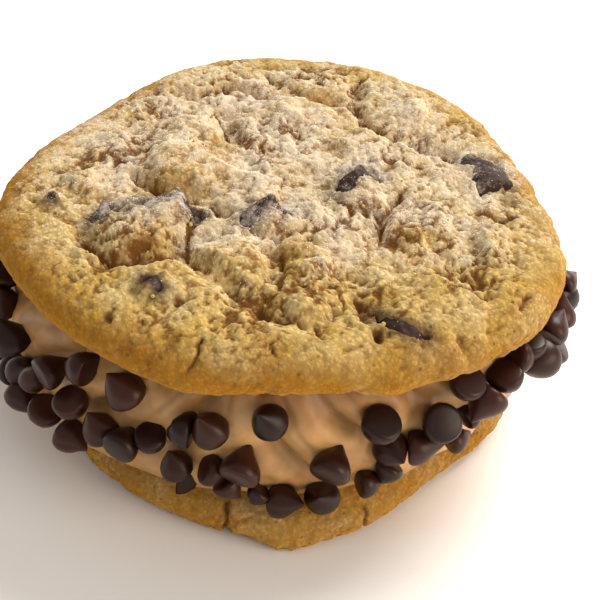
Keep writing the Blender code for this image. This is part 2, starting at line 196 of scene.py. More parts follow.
# Where the dough has opened over each large chip: half width, how darkly the chip shows through
# the thin dough beside it from 0 to 1, then the points that the opening runs through.
OPENINGS = (
    (3.5, 0.2, (36.2, 14.0), (37.6, 8.5), (39.0, 3.5)),
    (2.0, 0.5, (9.4, -2.0), (10.6, 1.2), (12.6, 4.2), (15.2, 3.4)),
    (1.5, 0.8, (-6.4, -13.0), (-5.0, -10.6), (-2.6, -9.2), (-0.4, -10.0)),
    (2.1, 0.85, (-25.2, -11.2), (-22.4, -9.8), (-19.4, -9.4), (-16.8, -10.6)),
    (1.0, 0.8, (-32.6, -14.6), (-31.2, -12.6)),
    (0.5, 1.0, (-21.8, -31.6), (-20.6, -32.2), (-19.6, -33.4)),
    (0.6, 0.6, (16.2, -32.8), (18.2, -35.4), (21.4, -37.4), (25.2, -37.6)),
    (0.3, 0.8, (-41.8, -8.8), (-41.2, -10.0)),
)
# Dough over each large chip: how far from its middle the dough is fitted to it, how thick the
# dough is where it covers the chip, and how far below the chip it lies where it has opened.
COAT_REACH = 13
COAT_THICK = 0.3
COAT_OPENED = 0.7
# How thickly icing sugar lies on each large chip, from 0 to 1.
CHIP_DUST = (0.42, 0.36, 0.58, 0.6, 0.6, 0.2, 0.1, 0.4)
# Where the crust has stayed bare of sugar and its colour is painted darker as painted shade: x, y, radius
# and how bare from 0 to 1.
BARE_SHADED_PATCHES = (
    (-21, -4.5, 5.0, 0.6), (-22, -21, 4, 0.4), (4.5, 31, 4, 0.5), (-29, -24, 5, 0.3),
    (-13, 12, 3, 0.4), (-32, 20, 5, 0.3), (14, 22, 4, 0.3), (22, -14, 4, 0.4), (3, -18, 4, 0.4),
)
# Where the top cookie's rim swells out or droops: azimuth and spread in degrees, out, down.
RIM_SWELLS = ((-107, 10, 0.0, 1.6), (-60, 8, 0.0, 0.9), (-165, 8, 1.2, 0.0))
# Mini chips of the side that is less full: azimuth in degrees, height, the way the tip points
# (0 up, 90 right), how far it lifts off the cream in degrees, and size.
SHOWN_MINI_CHIPS = (
    (-179, 26, 200, 0, 1.0), (-168, 29, 200, 10, 1.0), (-164, 26, 20, 10, 1.0), (-165, 15, 0, 0, 1.0),
    (-153, 26, 345, 20, 1.1), (-156, 15, 250, 10, 1.0), (-150, 19, 40, 0, 0.9), (-145, 21, 20, 5, 0.8),
    (-139, 27, 0, -80, 1.0), (-133, 31, 270, 12, 1.0), (-147, 14, 100, 0, 1.0), (-139, 16, 200, 0, 1.0),
    (-132, 22, 175, -20, 1.0), (-131, 14, 90, 0, 1.0), (-125, 21, 340, 20, 1.0), (-118, 21, 0, -78, 1.0),
    (-122, 31, 335, 20, 1.1), (-113, 22, 180, -15, 0.9), (-108, 27, 270, 8, 1.0),
    (-102, 29, 345, 25, 1.0), (-91, 32, 330, 30, 1.0), (-107, 18, 340, 10, 0.9), (-103, 12, 90, 0, 0.7),
    (-98, 18, 120, -20, 0.9), (-93, 22, 30, -60, 1.1), (-94, 15, 140, 0, 0.8), (-88, 13, 220, 10, 0.7),
    (-81, 11, 70, 30, 1.0), (-74, 13, 330, 45, 1.0), (-75, 23, 50, -50, 1.1), (-64, 15, 90, 0, 0.8),
    (-67, 29, 190, -25, 1.1), (-62, 23, 0, 80, 1.0), (-61, 17, 220, 0, 0.8), (-56, 23, 80, 35, 1.0),
    (-54, 28, 160, -50, 1.1), (-45, 20, 80, 10, 0.8), (-44, 29, 235, 5, 1.1), (-38, 31, 165, 0, 1.0),
    (-42, 24, 70, 0, 0.8), (-48, 33, 180, -30, 1.0), (-33, 33, 120, 20, 1.0), (-28, 30, 275, 0, 1.2),
    (-18, 26, 200, -45, 1.1), (-20, 33, 60, 10, 1.0), (-30, 33, 180, 0, 1.0), (-12, 31, 20, 0, 1.0),
    (-5, 33, 80, 30, 0.9), (-4, 20, 0, 10, 1.0), (-8, 31, 300, 0, 1.0),
)
MINI_RADIUS = 3.4
MINI_HEIGHT = 6.2
MINI_SLIM = 0.95
MINI_SUNK = 0.9
MINI_ROWS = (12.5, 19.5, 26.5)
MINI_ROW_STEP = math.radians(8.5)
MINI_ROWS_FROM = 3
MINI_ROWS_TO = 184
MINI_MISSING = 0.12
MINI_SEED = 7
# The plainer drop that each chip is settled with: rings of radius and height, under its tip.
SETTLING_RINGS = ((0.82, 0.0), (1.0, 0.24), (0.58, 0.62))
SETTLING_SIDES = 6
SETTLING_ROUNDS = 3
# A drop's rings are its radius and height, for a drop of radius 1 and height 1.
MINI_RINGS = (
    (0.74, 0.0), (0.88, 0.02), (0.97, 0.08), (1.0, 0.17), (0.98, 0.27), (0.91, 0.39), (0.77, 0.52),
    (0.58, 0.65), (0.40, 0.76), (0.25, 0.86), (0.13, 0.94), (0.05, 0.985), (0.01, 1.0),
)
# Chips cut down to shards: these, and one in every so many.
MINI_SHARDS = (18, 22, 26)
MINI_SHARD_EACH = 17
MINI_SHARD_FIRST = 9
CHIP_RINGS = (
    (0.70, 0.0), (0.88, 0.03), (0.98, 0.12), (1.0, 0.24), (0.93, 0.38), (0.78, 0.52),
    (0.60, 0.66), (0.42, 0.78), (0.25, 0.88), (0.12, 0.96), (0.03, 1.0),
)


# ---------------------------------------------------------------------------
# Small tools
# ---------------------------------------------------------------------------
def to_linear(code):
    """Linear colour of an sRGB hex value."""
    parts = [int(code[i:i + 2], 16) / 255 for i in (1, 3, 5)]
    return tuple(c / 12.92 if c <= 0.04045 else ((c + 0.055) / 1.055) ** 2.4 for c in parts)


def smooth(low, high, value):
    """From 0 at the first value to 1 at the second, with an easy start and end."""
    share = np.clip((value - low) / (high - low), 0, 1)
    return share * share * (3 - 2 * share)


def mix(low, high, share):
    """From the first value at share 0 to the second at share 1."""
    return low * (1 - share) + high * share


def noise_at(points, size, seed=0):
    """Smooth noise from -1 to 1 at points in millimetres, with lumps of about this size."""
    shift = Vector((seed * 17.3, seed * 5.7, seed * 11.1))
    return np.array([noise.noise(Vector(point) / size + shift) for point in points])


def wave(angle, waves):
    """The sum of a rim's waves at an azimuth."""
    return sum(c * np.cos(k * angle) + s * np.sin(k * angle) for k, (c, s) in waves.items())


def off_line(points, line):
    """Distance of flat points from a line of several straight pieces."""
    nearest = np.full(len(points), 1e9)
    for start, end in zip(np.array(line[:-1], float), np.array(line[1:], float)):
        along = end - start
        share = np.clip((points - start) @ along / (along @ along), 0, 1)
        nearest = np.minimum(nearest, np.linalg.norm(points - start - share[:, None] * along, axis=1))
    return nearest


def start_fresh():
    """Leaves edit mode and deselects everything, so that an operator acts on its own piece."""
    if bpy.context.object and bpy.context.object.mode != "OBJECT":
        bpy.ops.object.mode_set(mode="OBJECT")
    bpy.ops.object.select_all(action="DESELECT")


def points_of(made):
    """The vertices of a piece in millimetres."""
    co = np.zeros(len(made.data.vertices) * 3)
    made.data.vertices.foreach_get("co", co)
    return co.reshape(-1, 3) / MM


def set_points(made, points):
    """Moves the vertices of a piece to these points in millimetres."""
    made.data.vertices.foreach_set("co", (points * MM).ravel())
    made.data.update()


def set_values(made, name, values):
    """Keeps one number for each vertex, which a material reads by this name."""
    store = made.data.attributes.new(name, "FLOAT", "POINT")
    store.data.foreach_set("value", np.clip(values, 0, 1).astype(np.float32))


def finish_piece(made, material, nodes):
    """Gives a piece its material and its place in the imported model."""
    made.data.materials.clear()
    made.data.materials.append(material)
    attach(made, "root")
    if nodes:
        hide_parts(*nodes)


def set_up(tree, node, settings=(), links=()):
    """Sets a node's fields and sockets, then links its sockets.

    A link comes from a socket, or from the first output of a node.
    """
    for name, value in dict(settings).items():
        if name == "stops":
            for stop, (place, shade) in zip(node.color_ramp.elements, value):
                stop.position, stop.color = place, (*shade, 1)
        elif isinstance(name, int) or name in node.inputs:
            node.inputs[name].default_value = value
        else:
            setattr(node, name, value)
    for name, source in dict(links).items():
        tree.links.new(getattr(source, "outputs", (source,))[0], node.inputs[name])


def add_node(tree, kind, settings=(), links=()):
    """Adds a node with its settings and links."""
    node = tree.nodes.new("ShaderNode" + kind)
    set_up(tree, node, settings, links)
    return node


def new_material(name):
    """A material with its object coordinates and its main shader."""
    material = bpy.data.materials.new(name)
    material.use_nodes = True
    tree = material.node_tree
    place = add_node(tree, "TexCoord").outputs["Object"]
    return material, tree, place, tree.nodes["Principled BSDF"]


# ---------------------------------------------------------------------------
# Materials
# ---------------------------------------------------------------------------
def crust_material(settings):
    """Baked butter dough, crumbly and matt, with a drift of icing sugar over it."""
    if "Baked cookie crust" in bpy.data.materials:
        return bpy.data.materials["Baked cookie crust"]
    material, tree, place, shader = new_material("Baked cookie crust")
    # Doughy patches of 9 mm, lumps of 2 mm, crumbs of 0.8 mm and a grain of 0.4 mm, with pores
    # about 2.6 mm apart.
    patch = add_node(tree, "TexNoise", {"Scale": 1 / (9 * MM), "Detail": 4.0}, {"Vector": place})
    lump = add_node(tree, "TexNoise", {"Scale": 1 / (2 * MM), "Detail": 4.0}, {"Vector": place})
    crumb = add_node(
        tree, "TexVoronoi",
        {
            "feature": "SMOOTH_F1", "Scale": 1 / (0.8 * MM), "Smoothness": 0.35, "Detail": 1.0,
            "Roughness": 0.5,
        },
        {"Vector": place},
    )
    grain = add_node(tree, "TexNoise", {"Scale": 1 / (0.4 * MM), "Detail": 3.0}, {"Vector": place})
    pore = add_node(tree, "TexVoronoi", {"Scale": 1 / (2.6 * MM)}, {"Vector": place})
    browned, hollow_shade, film, sugar = (
        add_node(tree, "Attribute", {"attribute_name": name}).outputs["Fac"]
        for name in ("browned", "hollow_shade", "film", "sugar")
    )
    # The oven browns the crumb unevenly, a little more or less on each lump.
    dough = add_node(
        tree, "ValToRGB", {"stops": ((0.36, settings.golden), (0.64, settings.pale))}, {"Fac": patch},
    )
    fleck = add_node(
        tree, "MapRange", {"From Min": 0.3, "From Max": 0.7, "To Min": -0.14, "To Max": 0.14},
        {"Value": lump},
    )
    brown_share = add_node(tree, "Math", {"operation": "ADD", "use_clamp": True}, {0: browned, 1: fleck})
    # Creases between crumbs, pores and cracks are painted darker: painted shade.
    crease = add_node(
        tree, "MapRange", {"From Min": 0.32, "From Max": 0.88, "To Max": 0.4}, {"Value": crumb},
    )
    pitted = add_node(
        tree, "MapRange", {"From Min": 0.19, "From Max": 0.08, "To Max": 0.75}, {"Value": pore},
    )
    low = add_node(tree, "Math", {"operation": "MAXIMUM"}, {0: crease, 1: pitted})
    painted_shade_share = add_node(tree, "Math", {"operation": "ADD", "use_clamp": True}, {0: low, 1: hollow_shade})
    # Sugar catches on the raised crumbs first, and only where some of it lies at all.
    speck = add_node(
        tree, "MapRange", {"From Min": 0.3, "From Max": 0.7, "To Min": -0.2, "To Max": 0.2},
        {"Value": grain},
    )
    raised = add_node(
        tree, "MapRange", {"From Min": 0.15, "From Max": 0.75, "To Min": 0.15, "To Max": -0.22},
        {"Value": crumb},
    )
    drift = add_node(tree, "Math", {"operation": "ADD"}, {0: speck, 1: raised})
    near = add_node(tree, "MapRange", {"From Max": 0.3}, {"Value": sugar})
    caught = add_node(tree, "Math", {"operation": "MULTIPLY_ADD"}, {0: drift, 1: near, 2: sugar})
    dusted = add_node(
        tree, "MapRange",
        {"interpolation_type": "SMOOTHSTEP", "From Min": -0.05, "From Max": 0.95, "To Max": 0.76},
        {"Value": caught},
    )
    surface = dough
    for share, shade in (
        (brown_share, settings.browned), (painted_shade_share, settings.hollow_shade),
        (film, settings.film), (dusted, settings.sugar),
    ):
        layer = add_node(tree, "Mix", {"data_type": "RGBA", 7: (*shade, 1)}, {0: share, 6: surface})
        surface = layer.outputs[2]
    normal = {}
    for height, strength, depth, invert in (
        (lump, 0.6, 0.5, False), (low, 0.75, 0.3, True), (grain, 0.3, 0.1, False),
    ):
        bump = add_node(
            tree, "Bump", {"Strength": strength, "Distance": depth * MM, "invert": invert},
            {"Height": height, **normal},
        )
        normal = {"Normal": bump}
    set_up(
        tree, shader, {"Roughness": 0.95, "Diffuse Roughness": 0.8, "Specular IOR Level": 0.06},
        {"Base Color": surface, **normal},
    )
    return material


def cream_material(settings):
    """Whipped ricotta cream: dense, satin and a little see-through at its crests."""
    material, tree, place, shader = new_material("Piped cannoli cream")
    # Soft swirls of 7 mm and fine whipping marks of 1.4 mm.
    swirl = add_node(tree, "TexNoise", {"Scale": 1 / (7 * MM), "Detail": 3.0}, {"Vector": place})
    whip = add_node(tree, "TexNoise", {"Scale": 1 / (1.4 * MM), "Detail": 4.0}, {"Vector": place})
    swirled = add_node(
        tree, "ValToRGB", {"stops": ((0.36, settings.shade), (0.62, settings.light))}, {"Fac": swirl},
    )
    # Painted shade: the folds and the cream just under the top cookie are darkened towards the deep
    # colour.
    fold_shade = add_node(tree, "Attribute", {"attribute_name": "fold_shade"}).outputs["Fac"]
    deep = add_node(
        tree, "Mix", {"data_type": "RGBA", 7: (*settings.deep, 1)}, {0: fold_shade, 6: swirled},
    )
    satin = add_node(tree, "MapRange", {"To Min": 0.36, "To Max": 0.52}, {"Value": whip})
    bump = add_node(tree, "Bump", {"Strength": 0.35, "Distance": 0.2 * MM}, {"Height": whip})
    set_up(
        tree, shader,
        {
            "Subsurface Weight": 0.3, "Subsurface Radius": (1.0, 0.75, 0.5),
            "Subsurface Scale": 1.2 * MM, "IOR": 1.45,
        },
        {"Base Color": deep.outputs[2], "Roughness": satin, "Normal": bump},
    )
    return material


def mini_chip_material(settings):
    """Dark chocolate drops: smooth, satin and a touch red-brown, each of its own tone."""
    material, tree, place, shader = new_material("Dark chocolate drops")
    tone = add_node(tree, "Attribute", {"attribute_name": "tone"}).outputs["Fac"]
    toned = add_node(
        tree, "ValToRGB", {"stops": ((0.0, settings.dark), (1.0, settings.worn))}, {"Fac": tone},
    )
    # Handling leaves the gloss uneven over patches of 2 mm.
    worn = add_node(tree, "TexNoise", {"Scale": 1 / (2 * MM), "Detail": 4.0}, {"Vector": place})
    gloss = add_node(tree, "MapRange", {"To Min": 0.24, "To Max": 0.48}, {"Value": worn})
    bump = add_node(tree, "Bump", {"Strength": 0.2, "Distance": 0.12 * MM}, {"Height": worn})
    set_up(
        tree, shader, {"IOR": 1.46, "Specular IOR Level": 0.28},
        {"Base Color": toned, "Roughness": gloss, "Normal": bump},
    )
    return material


def baked_chip_material(settings):
    """Chocolate that has melted and set again in the oven, with icing sugar on its upper side."""
    material, tree, place, shader = new_material("Baked chocolate chunk")
    # A rough skin of 0.6 mm, and sugar that lies in drifts of 3.2 mm.
    grain = add_node(
        tree, "TexNoise", {"Scale": 1 / (0.6 * MM), "Detail": 5.0, "Roughness": 0.7}, {"Vector": place},
    )
    drift = add_node(tree, "TexNoise", {"Scale": 1 / (3.2 * MM), "Detail": 2.0}, {"Vector": place})
    both = add_node(tree, "Math", {"operation": "ADD"}, {0: grain, 1: drift})
    sugar = add_node(tree, "Attribute", {"attribute_name": "sugar"}).outputs["Fac"]
    near = add_node(tree, "Math", {"operation": "ADD"}, {0: both, 1: sugar})
    dusted = add_node(
        tree, "MapRange",
        {"interpolation_type": "SMOOTHSTEP", "From Min": 1.3, "From Max": 1.95, "To Max": 0.85},
        {"Value": near},
    )
    topped = add_node(
        tree, "Mix", {"data_type": "RGBA", 6: (*settings.baked, 1), 7: (*settings.bloom, 1)}, {0: dusted},
    )
    bump = add_node(tree, "Bump", {"Strength": 0.5, "Distance": 0.25 * MM}, {"Height": grain})
    set_up(
        tree, shader, {"Roughness": 0.6, "IOR": 1.46, "Specular IOR Level": 0.3},
        {"Base Color": topped.outputs[2], "Normal": bump},
    )
    return material


def sugar_material(settings):
    """Icing sugar: tiny clumps of white powder, matt and slightly uneven."""
    material, tree, place, shader = new_material("Icing sugar clumps")
    clump = add_node(tree, "TexNoise", {"Scale": 1 / (0.3 * MM), "Detail": 2.0}, {"Vector": place})
    shaded = add_node(
        tree, "ValToRGB", {"stops": ((0.3, settings.sugar_shade), (0.7, settings.sugar_white))},
        {"Fac": clump},
    )
    set_up(tree, shader, {"Roughness": 0.7, "IOR": 1.5}, {"Base Color": shaded})
    return material


def floor_material(settings):
    """Painted board, pale and matt, with a faint unevenness of 40 mm."""
    material, tree, place, shader = new_material("Matt painted board")
    mottle = add_node(tree, "TexNoise", {"Scale": 1 / (40 * MM), "Detail": 2.0}, {"Vector": place})
    paint = tuple(settings.floor)
    duller = tuple(0.985 * part for part in paint)
    mottled = add_node(tree, "ValToRGB", {"stops": ((0.3, duller), (0.7, paint))}, {"Fac": mottle})
    set_up(tree, shader, {"Roughness": 0.9}, {"Base Color": mottled})
    return material


# ---------------------------------------------------------------------------
# Forms
# ---------------------------------------------------------------------------
def add_sheet(name, rings):
    """A round sheet of even triangles, its edge closed by one flat face.

    Returns the piece with each point's share of the way out and its azimuth.
    """
    start_fresh()
    bpy.ops.mesh.primitive_circle_add(vertices=6, radius=1.0, fill_type="TRIFAN")
    made = bpy.context.object
    made.name = name
    made.data.name = name
    corner = max((vert.co for vert in made.data.vertices), key=lambda co: co.length)
    first = math.atan2(corner.y, corner.x)
    bpy.ops.object.mode_set(mode="EDIT")
    bpy.ops.mesh.select_all(action="SELECT")
    bpy.ops.mesh.subdivide(number_cuts=rings // 2 - 1)
    bpy.ops.mesh.subdivide(number_cuts=1)
    bpy.ops.mesh.select_mode(type="EDGE")
    bpy.ops.mesh.select_all(action="DESELECT")
    bpy.ops.mesh.select_non_manifold(extend=False, use_wire=False)
    bpy.ops.mesh.edge_face_add()
    bpy.ops.object.mode_set(mode="OBJECT")
    flat = points_of(made)[:, :2] * MM
    angle = np.arctan2(flat[:, 1], flat[:, 0]) - first
    sector = np.floor(angle / (math.pi / 3) + 1e-6)
    ahead = first + sector * math.pi / 3
    after = ahead + math.pi / 3
    wide = math.sin(math.pi / 3)
    to_ahead = (flat[:, 0] * np.sin(after) - flat[:, 1] * np.cos(after)) / wide
    to_after = (flat[:, 1] * np.cos(ahead) - flat[:, 0] * np.sin(ahead)) / wide
    share = np.clip(to_ahead + to_after, 0, 1)
    step = to_after / np.maximum(share, 1e-9)
    return made, share, ahead + step * math.pi / 3


def rolled_profile(share, edge, size, bands):
    """Reach, height and turn of a cookie's skin, from its crown round its side to below."""
    crown, side, foot = bands
    over = np.clip((share - crown) / (side - crown), 0, 1) * math.pi / 2
    under = np.clip((share - side) / (foot - side), 0, 1) * math.pi / 2
    back = np.clip((share - foot) / (1 - foot), 0, 1)
    reach = (edge - size["shoulder"]) * np.clip(share / crown, 0, 1) + size["shoulder"] * np.sin(over)
    reach -= size["foot"] * (1 - np.cos(under)) + size["tuck"] * back
    height = size["thick"] - (size["thick"] - size["widest"]) * (1 - np.cos(over))
    height -= size["widest"] * np.sin(under)
    return reach, height, over + under


def cookie_skin(name, rings, radius, waves, size, bands):
    """A cookie's skin before its relief.

    Returns the piece and, for each point: the rim's radius there, the direction outwards, the
    place seen from above, the height over the cookie's base, how far the skin has turned over in
    radians and the way it faces.
    """
    made, share, angle = add_sheet(name, rings)
    edge = radius + wave(angle, waves)
    reach, height, turn = rolled_profile(share, edge, size, bands)
    around = np.stack([np.cos(angle), np.sin(angle)], 1)
    facing = np.column_stack([np.sin(turn)[:, None] * around, np.cos(turn)])
    return made, edge, around, reach[:, None] * around, height, turn, facing


def grains_on(points, size, seed):
    """From 0 to 1, rounded grains of about this size with sharp creases between them."""
    drift = np.stack([noise_at(points, 0.9 * size, seed + k) for k in (1, 2, 3)], 1)
    bent = (points + 0.34 * size * drift) / size + seed
    away = np.array([noise.voronoi(Vector(point))[0][0] for point in bent])
    return np.clip(1 - 1.5 * away * away, 0, 1)


def crumbs_on(points, seed):
    """Crumbly relief: soft lumps made of coarse and fine rounded crumbs.

    Returns the lumps and the crumbs, in millimetres, and from 0 to 1 the creases between crumbs.
    """
    lumps = SOFT_LUMPS[1] * (np.abs(noise_at(points, SOFT_LUMPS[0], seed)) - 0.22)
    coarse = grains_on(points, COARSE_CRUMBS[0], seed + 4)
    fine = grains_on(points, FINE_CRUMBS[0], seed + 8)
    crumbs = COARSE_CRUMBS[1] * (coarse - 0.62) + FINE_CRUMBS[1] * (fine - 0.62)
    creases = smooth(0.5, 0.0, fine) + 0.7 * smooth(0.45, 0.0, coarse)
    return lumps, crumbs, np.clip(creases, 0, 1)


def crevices_on(points, size, wide, seed):
    """From 0 to 1, narrow crevices between lumps of about this size."""
    drift = np.stack([noise_at(points, 0.5 * size, seed + k) for k in (1, 2, 3)], 1)
    bent = (points + 0.32 * size * drift) / size
    near = [noise.voronoi(Vector(point))[0] for point in bent]
    edge = np.array([found[1] - found[0] for found in near]) * size
    return np.exp(-((edge / wide) ** 2))


def lumps_and_cracks(flat, torn):
    """The top crust's named lumps and cracks; the cracks stray by the torn distance."""
    deep = np.column_stack([flat, np.full(len(flat), 3.0)])
    strayed = flat + torn * np.stack([noise_at(deep, 3.6, k) for k in (21, 22)], 1)
    broken = 1 + torn * 0.3 * noise_at(deep, 5.0, 23)
    height = 1.2 * noise_at(deep, 4.2) - 0.5
    for x, y, radius, rise in LUMPS:
        reach = np.hypot(flat[:, 0] - x, flat[:, 1] - y) / radius
        height += rise * mix(1, LUMP_SWELL, torn > 0) * np.maximum(0, 1 - reach * reach)
    for depth, *line in CRACKS:
        height -= depth * broken * np.exp(-((off_line(strayed, line) / CRACK_WIDE) ** 2))
    return height


def top_height(flat, torn=0.0):
    """The top crust's dome with its relief, which fades out at the rim."""
    edge = TOP_RADIUS + wave(np.arctan2(flat[:, 1], flat[:, 0]), TOP_WAVES)
    share = np.hypot(flat[:, 0], flat[:, 1]) / (edge - TOP["shoulder"])
    dome = TOP_DOME * np.maximum(0, 1 - share * share)
    return dome + (1 - 0.75 * smooth(0.86, 1.0, share)) * lumps_and_cracks(flat, torn)


def fold_lean(angle, share, swept):
    """How far round a fold has run at this share of the height; swept folds lean more evenly."""
    across = np.sin(angle - FOLD_MEET)
    return FOLD_LEAN * (share - 0.5) * mix(across, 1.25 * np.tanh(4 * across), swept)


def cream_point(angle, height, swept=0):
    """A point of the cream's side at an azimuth and a height over its base, folds included."""
    share = height / CREAM_THICK
    oval = 1 / math.hypot(math.cos(angle) / CREAM_ACROSS, math.sin(angle) / CREAM_DEEP)
    tuck = CREAM_TUCK_BELOW * (1 - share) ** 2 + CREAM_TUCK_ABOVE * share**4
    lean = fold_lean(angle, share, swept)
    crest = abs(math.sin(CREAM_FOLDS * (angle + lean) / 2)) ** 0.7 - 0.75
    fade = math.sin(math.pi * (0.12 + 0.76 * share))
    sag = 0.8 * noise.noise(Vector((3.0 * math.cos(angle), 3.0 * math.sin(angle), 2 * share)))
    sag -= CREAM_ROUNDING * ((1 - share) ** 9 + share**9)
    edge = TOP_RADIUS + wave(angle, TOP_WAVES)
    covered = edge + CREAM_OVERHANG * (CREAM_COVERED_FROM - share)
    reach = min(covered, oval - tuck + sag + FOLD_DEPTH * crest * fade)
    out = (reach * math.cos(angle) + CREAM_SLIP * (share - 0.7), reach * math.sin(angle))
    return np.array((*out, CREAM_BASE + height))


def sort_faces(mesh):
    """Puts faces in the order of their points, because extruding leaves them in a random one."""
    points = [tuple(vert.co) for vert in mesh.vertices]
    faces = [list(face.vertices) for face in mesh.polygons]
    starts = [face.index(min(face)) for face in faces]
    turned = sorted(face[start:] + face[:start] for face, start in zip(faces, starts))
    mesh.clear_geometry()
    mesh.from_pydata(points, [], turned)


def add_drop(name, sides, rings):
    """One chocolate drop: a disc drawn up ring by ring to its tip."""
    start_fresh()
    bpy.ops.mesh.primitive_circle_add(vertices=sides, radius=rings[0][0], fill_type="NGON")
    made = bpy.context.object
    made.name = name
    bpy.ops.object.mode_set(mode="EDIT")
    bpy.ops.mesh.select_mode(type="FACE")
    bpy.ops.mesh.select_all(action="SELECT")
    for (wide, low), (next_wide, high) in zip(rings, rings[1:]):
        bpy.ops.mesh.extrude_region_move(TRANSFORM_OT_translate={"value": (0, 0, high - low)})
        bpy.ops.transform.resize(value=(next_wide / wide, next_wide / wide, 1))
    bpy.ops.mesh.select_all(action="SELECT")
    bpy.ops.mesh.normals_make_consistent(inside=False)
    bpy.ops.object.mode_set(mode="OBJECT")
    sort_faces(made.data)
    return made


def scatter(name, matrices):
    """One piece of many small grains, each at its own matrix."""
    start_fresh()
    bpy.ops.mesh.primitive_ico_sphere_add(subdivisions=1, radius=1)
    pattern = bpy.context.object
    base = points_of(pattern) * MM
    count, each = len(matrices), len(base)
    turned = np.einsum("nij,kj->nki", matrices[:, :3, :3], base) + matrices[:, None, :3, 3]
    faces = np.array([tuple(face.vertices) for face in pattern.data.polygons])
    faces = (faces[None] + each * np.arange(count)[:, None, None]).reshape(-1, faces.shape[1])
    mesh = bpy.data.meshes.new(name)
    mesh.vertices.add(count * each)
    mesh.vertices.foreach_set("co", turned.ravel())
    mesh.loops.add(faces.size)
    mesh.loops.foreach_set("vertex_index", faces.ravel())
    mesh.polygons.add(len(faces))
    mesh.polygons.foreach_set("loop_start", np.arange(len(faces)) * faces.shape[1])
    mesh.update(calc_edges=True)
    mesh.shade_smooth()
    made = bpy.data.objects.new(name, mesh)
    bpy.context.scene.collection.objects.link(made)
    bpy.data.objects.remove(pattern)
    return made


# ---------------------------------------------------------------------------
# Settings
# ---------------------------------------------------------------------------
def length(name, description, millimetres):
    """A setting for a length, with its default in millimetres."""
    return FloatProperty(
        name=name, description=description, default=millimetres * MM, min=0.0, unit="LENGTH",
    )


def colour(name, description, code):
    """A setting for a colour, with its default as an sRGB hex value."""
    return FloatVectorProperty(
        name=name, description=description, default=to_linear(code), size=3, min=0.0, max=1.0,
        subtype="COLOR",
    )


class CrustSettings(bpy.types.PropertyGroup):
    """The crusts of both cookies"""

    crumb_rise: length("Crumb rise", "How far lumps stand up in the middle of the crust", 0.92)
    crevice_depth: length("Crevice depth", "Depth of the fine crevices between lumps", 0.55)
    rim_roughness: FloatProperty(
        name="Rim roughness", description="Share of the crumb relief left on the rim",
        default=0.5, min=0.0, max=1.0, subtype="FACTOR",
    )
    sugar_cover: FloatProperty(
        name="Sugar cover", description="How thickly icing sugar covers the middle",
        default=0.72, min=0.0, max=1.0, subtype="FACTOR",
    )
    pale: colour("Pale crumb", "Colour of the pale, soft crumb", "#EBD9A0")
    golden: colour("Golden crumb", "Colour of the golden crumb", "#DCBE64")
    browned: colour("Browned rim", "Colour where the oven browned the dough", "#B67F20")
    # Painted shade: the colour that creases, pores, cracks and low ground are darkened towards.
    hollow_shade: colour("Crevices", "Colour down in the cracks", "#84592A")
    film: colour("Thin dough", "Colour of thin dough over a chip", "#4B3327")
    sugar: colour("Dusted crust", "Colour of crust under icing sugar", "#E9DFD3")


class CreamSettings(bpy.types.PropertyGroup):
    """The piped cream"""

    fold: length("Fold", "How much deeper the piped folds are than the plain form", 2.2)
    ridge: length("Ridge", "Height of the narrower ridges that the nozzle leaves", 0.35)
    groove: length("Groove", "Depth of the nozzle's fine grooves along the folds", 0.08)
    ripple: length("Ripple", "Height of the soft ripples between the piped folds", 0.35)
    press: length("Pressed edge", "How far cream swells up round each pressed-in chip", 0.35)
    light: colour("Light cream", "Colour of the crests", "#C99C63")
    shade: colour("Shaded cream", "Colour of the soft swirls between them", "#AB7E49")
    # Painted shade: the colour down in the folds and just under the top cookie.
    deep: colour("Deep cream", "Colour down in the folds", "#7E552E")


class ChocolateSettings(bpy.types.PropertyGroup):
    """The mini chips and the large chips"""

    bend: FloatProperty(
        name="Tip bend", description="How far the tips lean over, as a share of the radius",
        default=0.3, min=0.0, max=0.6, subtype="FACTOR",
    )
    dark: colour("Dark drop", "Colour of the darkest drops", "#200D08")
    worn: colour("Worn drop", "Colour of the lightest drops", "#3A1A10")
    baked: colour("Baked chunk", "Colour of the chunks baked into the crust", "#321E17")
    bloom: colour("Dusted chunk", "Colour of a chunk under icing sugar", "#CDBDAC")


class DustingSettings(bpy.types.PropertyGroup):
    """Icing sugar and loose crumbs"""

    grains: IntProperty(
        name="Sugar clumps", description="How many clumps of icing sugar lie on top",
        default=8600, min=1, max=9000,
    )
    grain_size: length("Clump size", "Radius of a large clump of icing sugar", 0.13)
    crumbs: IntProperty(
        name="Crumbs", description="How many loose crumbs lie on the crusts",
        default=170, min=1, max=6000,
    )
    crumb_size: length("Crumb size", "Radius of a large crumb", 0.45)
    sugar_white: colour("Sugar", "Colour of icing sugar in light", "#FBF6EE")
    sugar_shade: colour("Sugar shade", "Colour of icing sugar in its own shade", "#EFE4D6")


class StageSettings(bpy.types.PropertyGroup):
    """The floor, the lights and the camera"""

    floor: colour("Floor", "Colour of the floor", "#FBFAF8")
    distance: length("Camera distance", "From the camera to the middle of the sandwich", 280.0)
    elevation: FloatProperty(
        name="Elevation", description="How far the camera looks down", default=math.radians(39.15),
        subtype="ANGLE",
    )
    roll: FloatProperty(
        name="Roll", description="How far the camera leans", default=math.radians(4.51), subtype="ANGLE",
    )
    key_power: FloatProperty(
        name="Window light", description="Power of the large light behind the sandwich, in watts",
        default=37.0, min=0.0,
    )
    fill_power: FloatProperty(
        name="Front light", description="Power of the soft light in front, in watts",
        default=12.5, min=0.0,
    )
    sky: FloatProperty(
        name="Sky", description="Strength of the even light all round", default=0.57, min=0.0,
    )


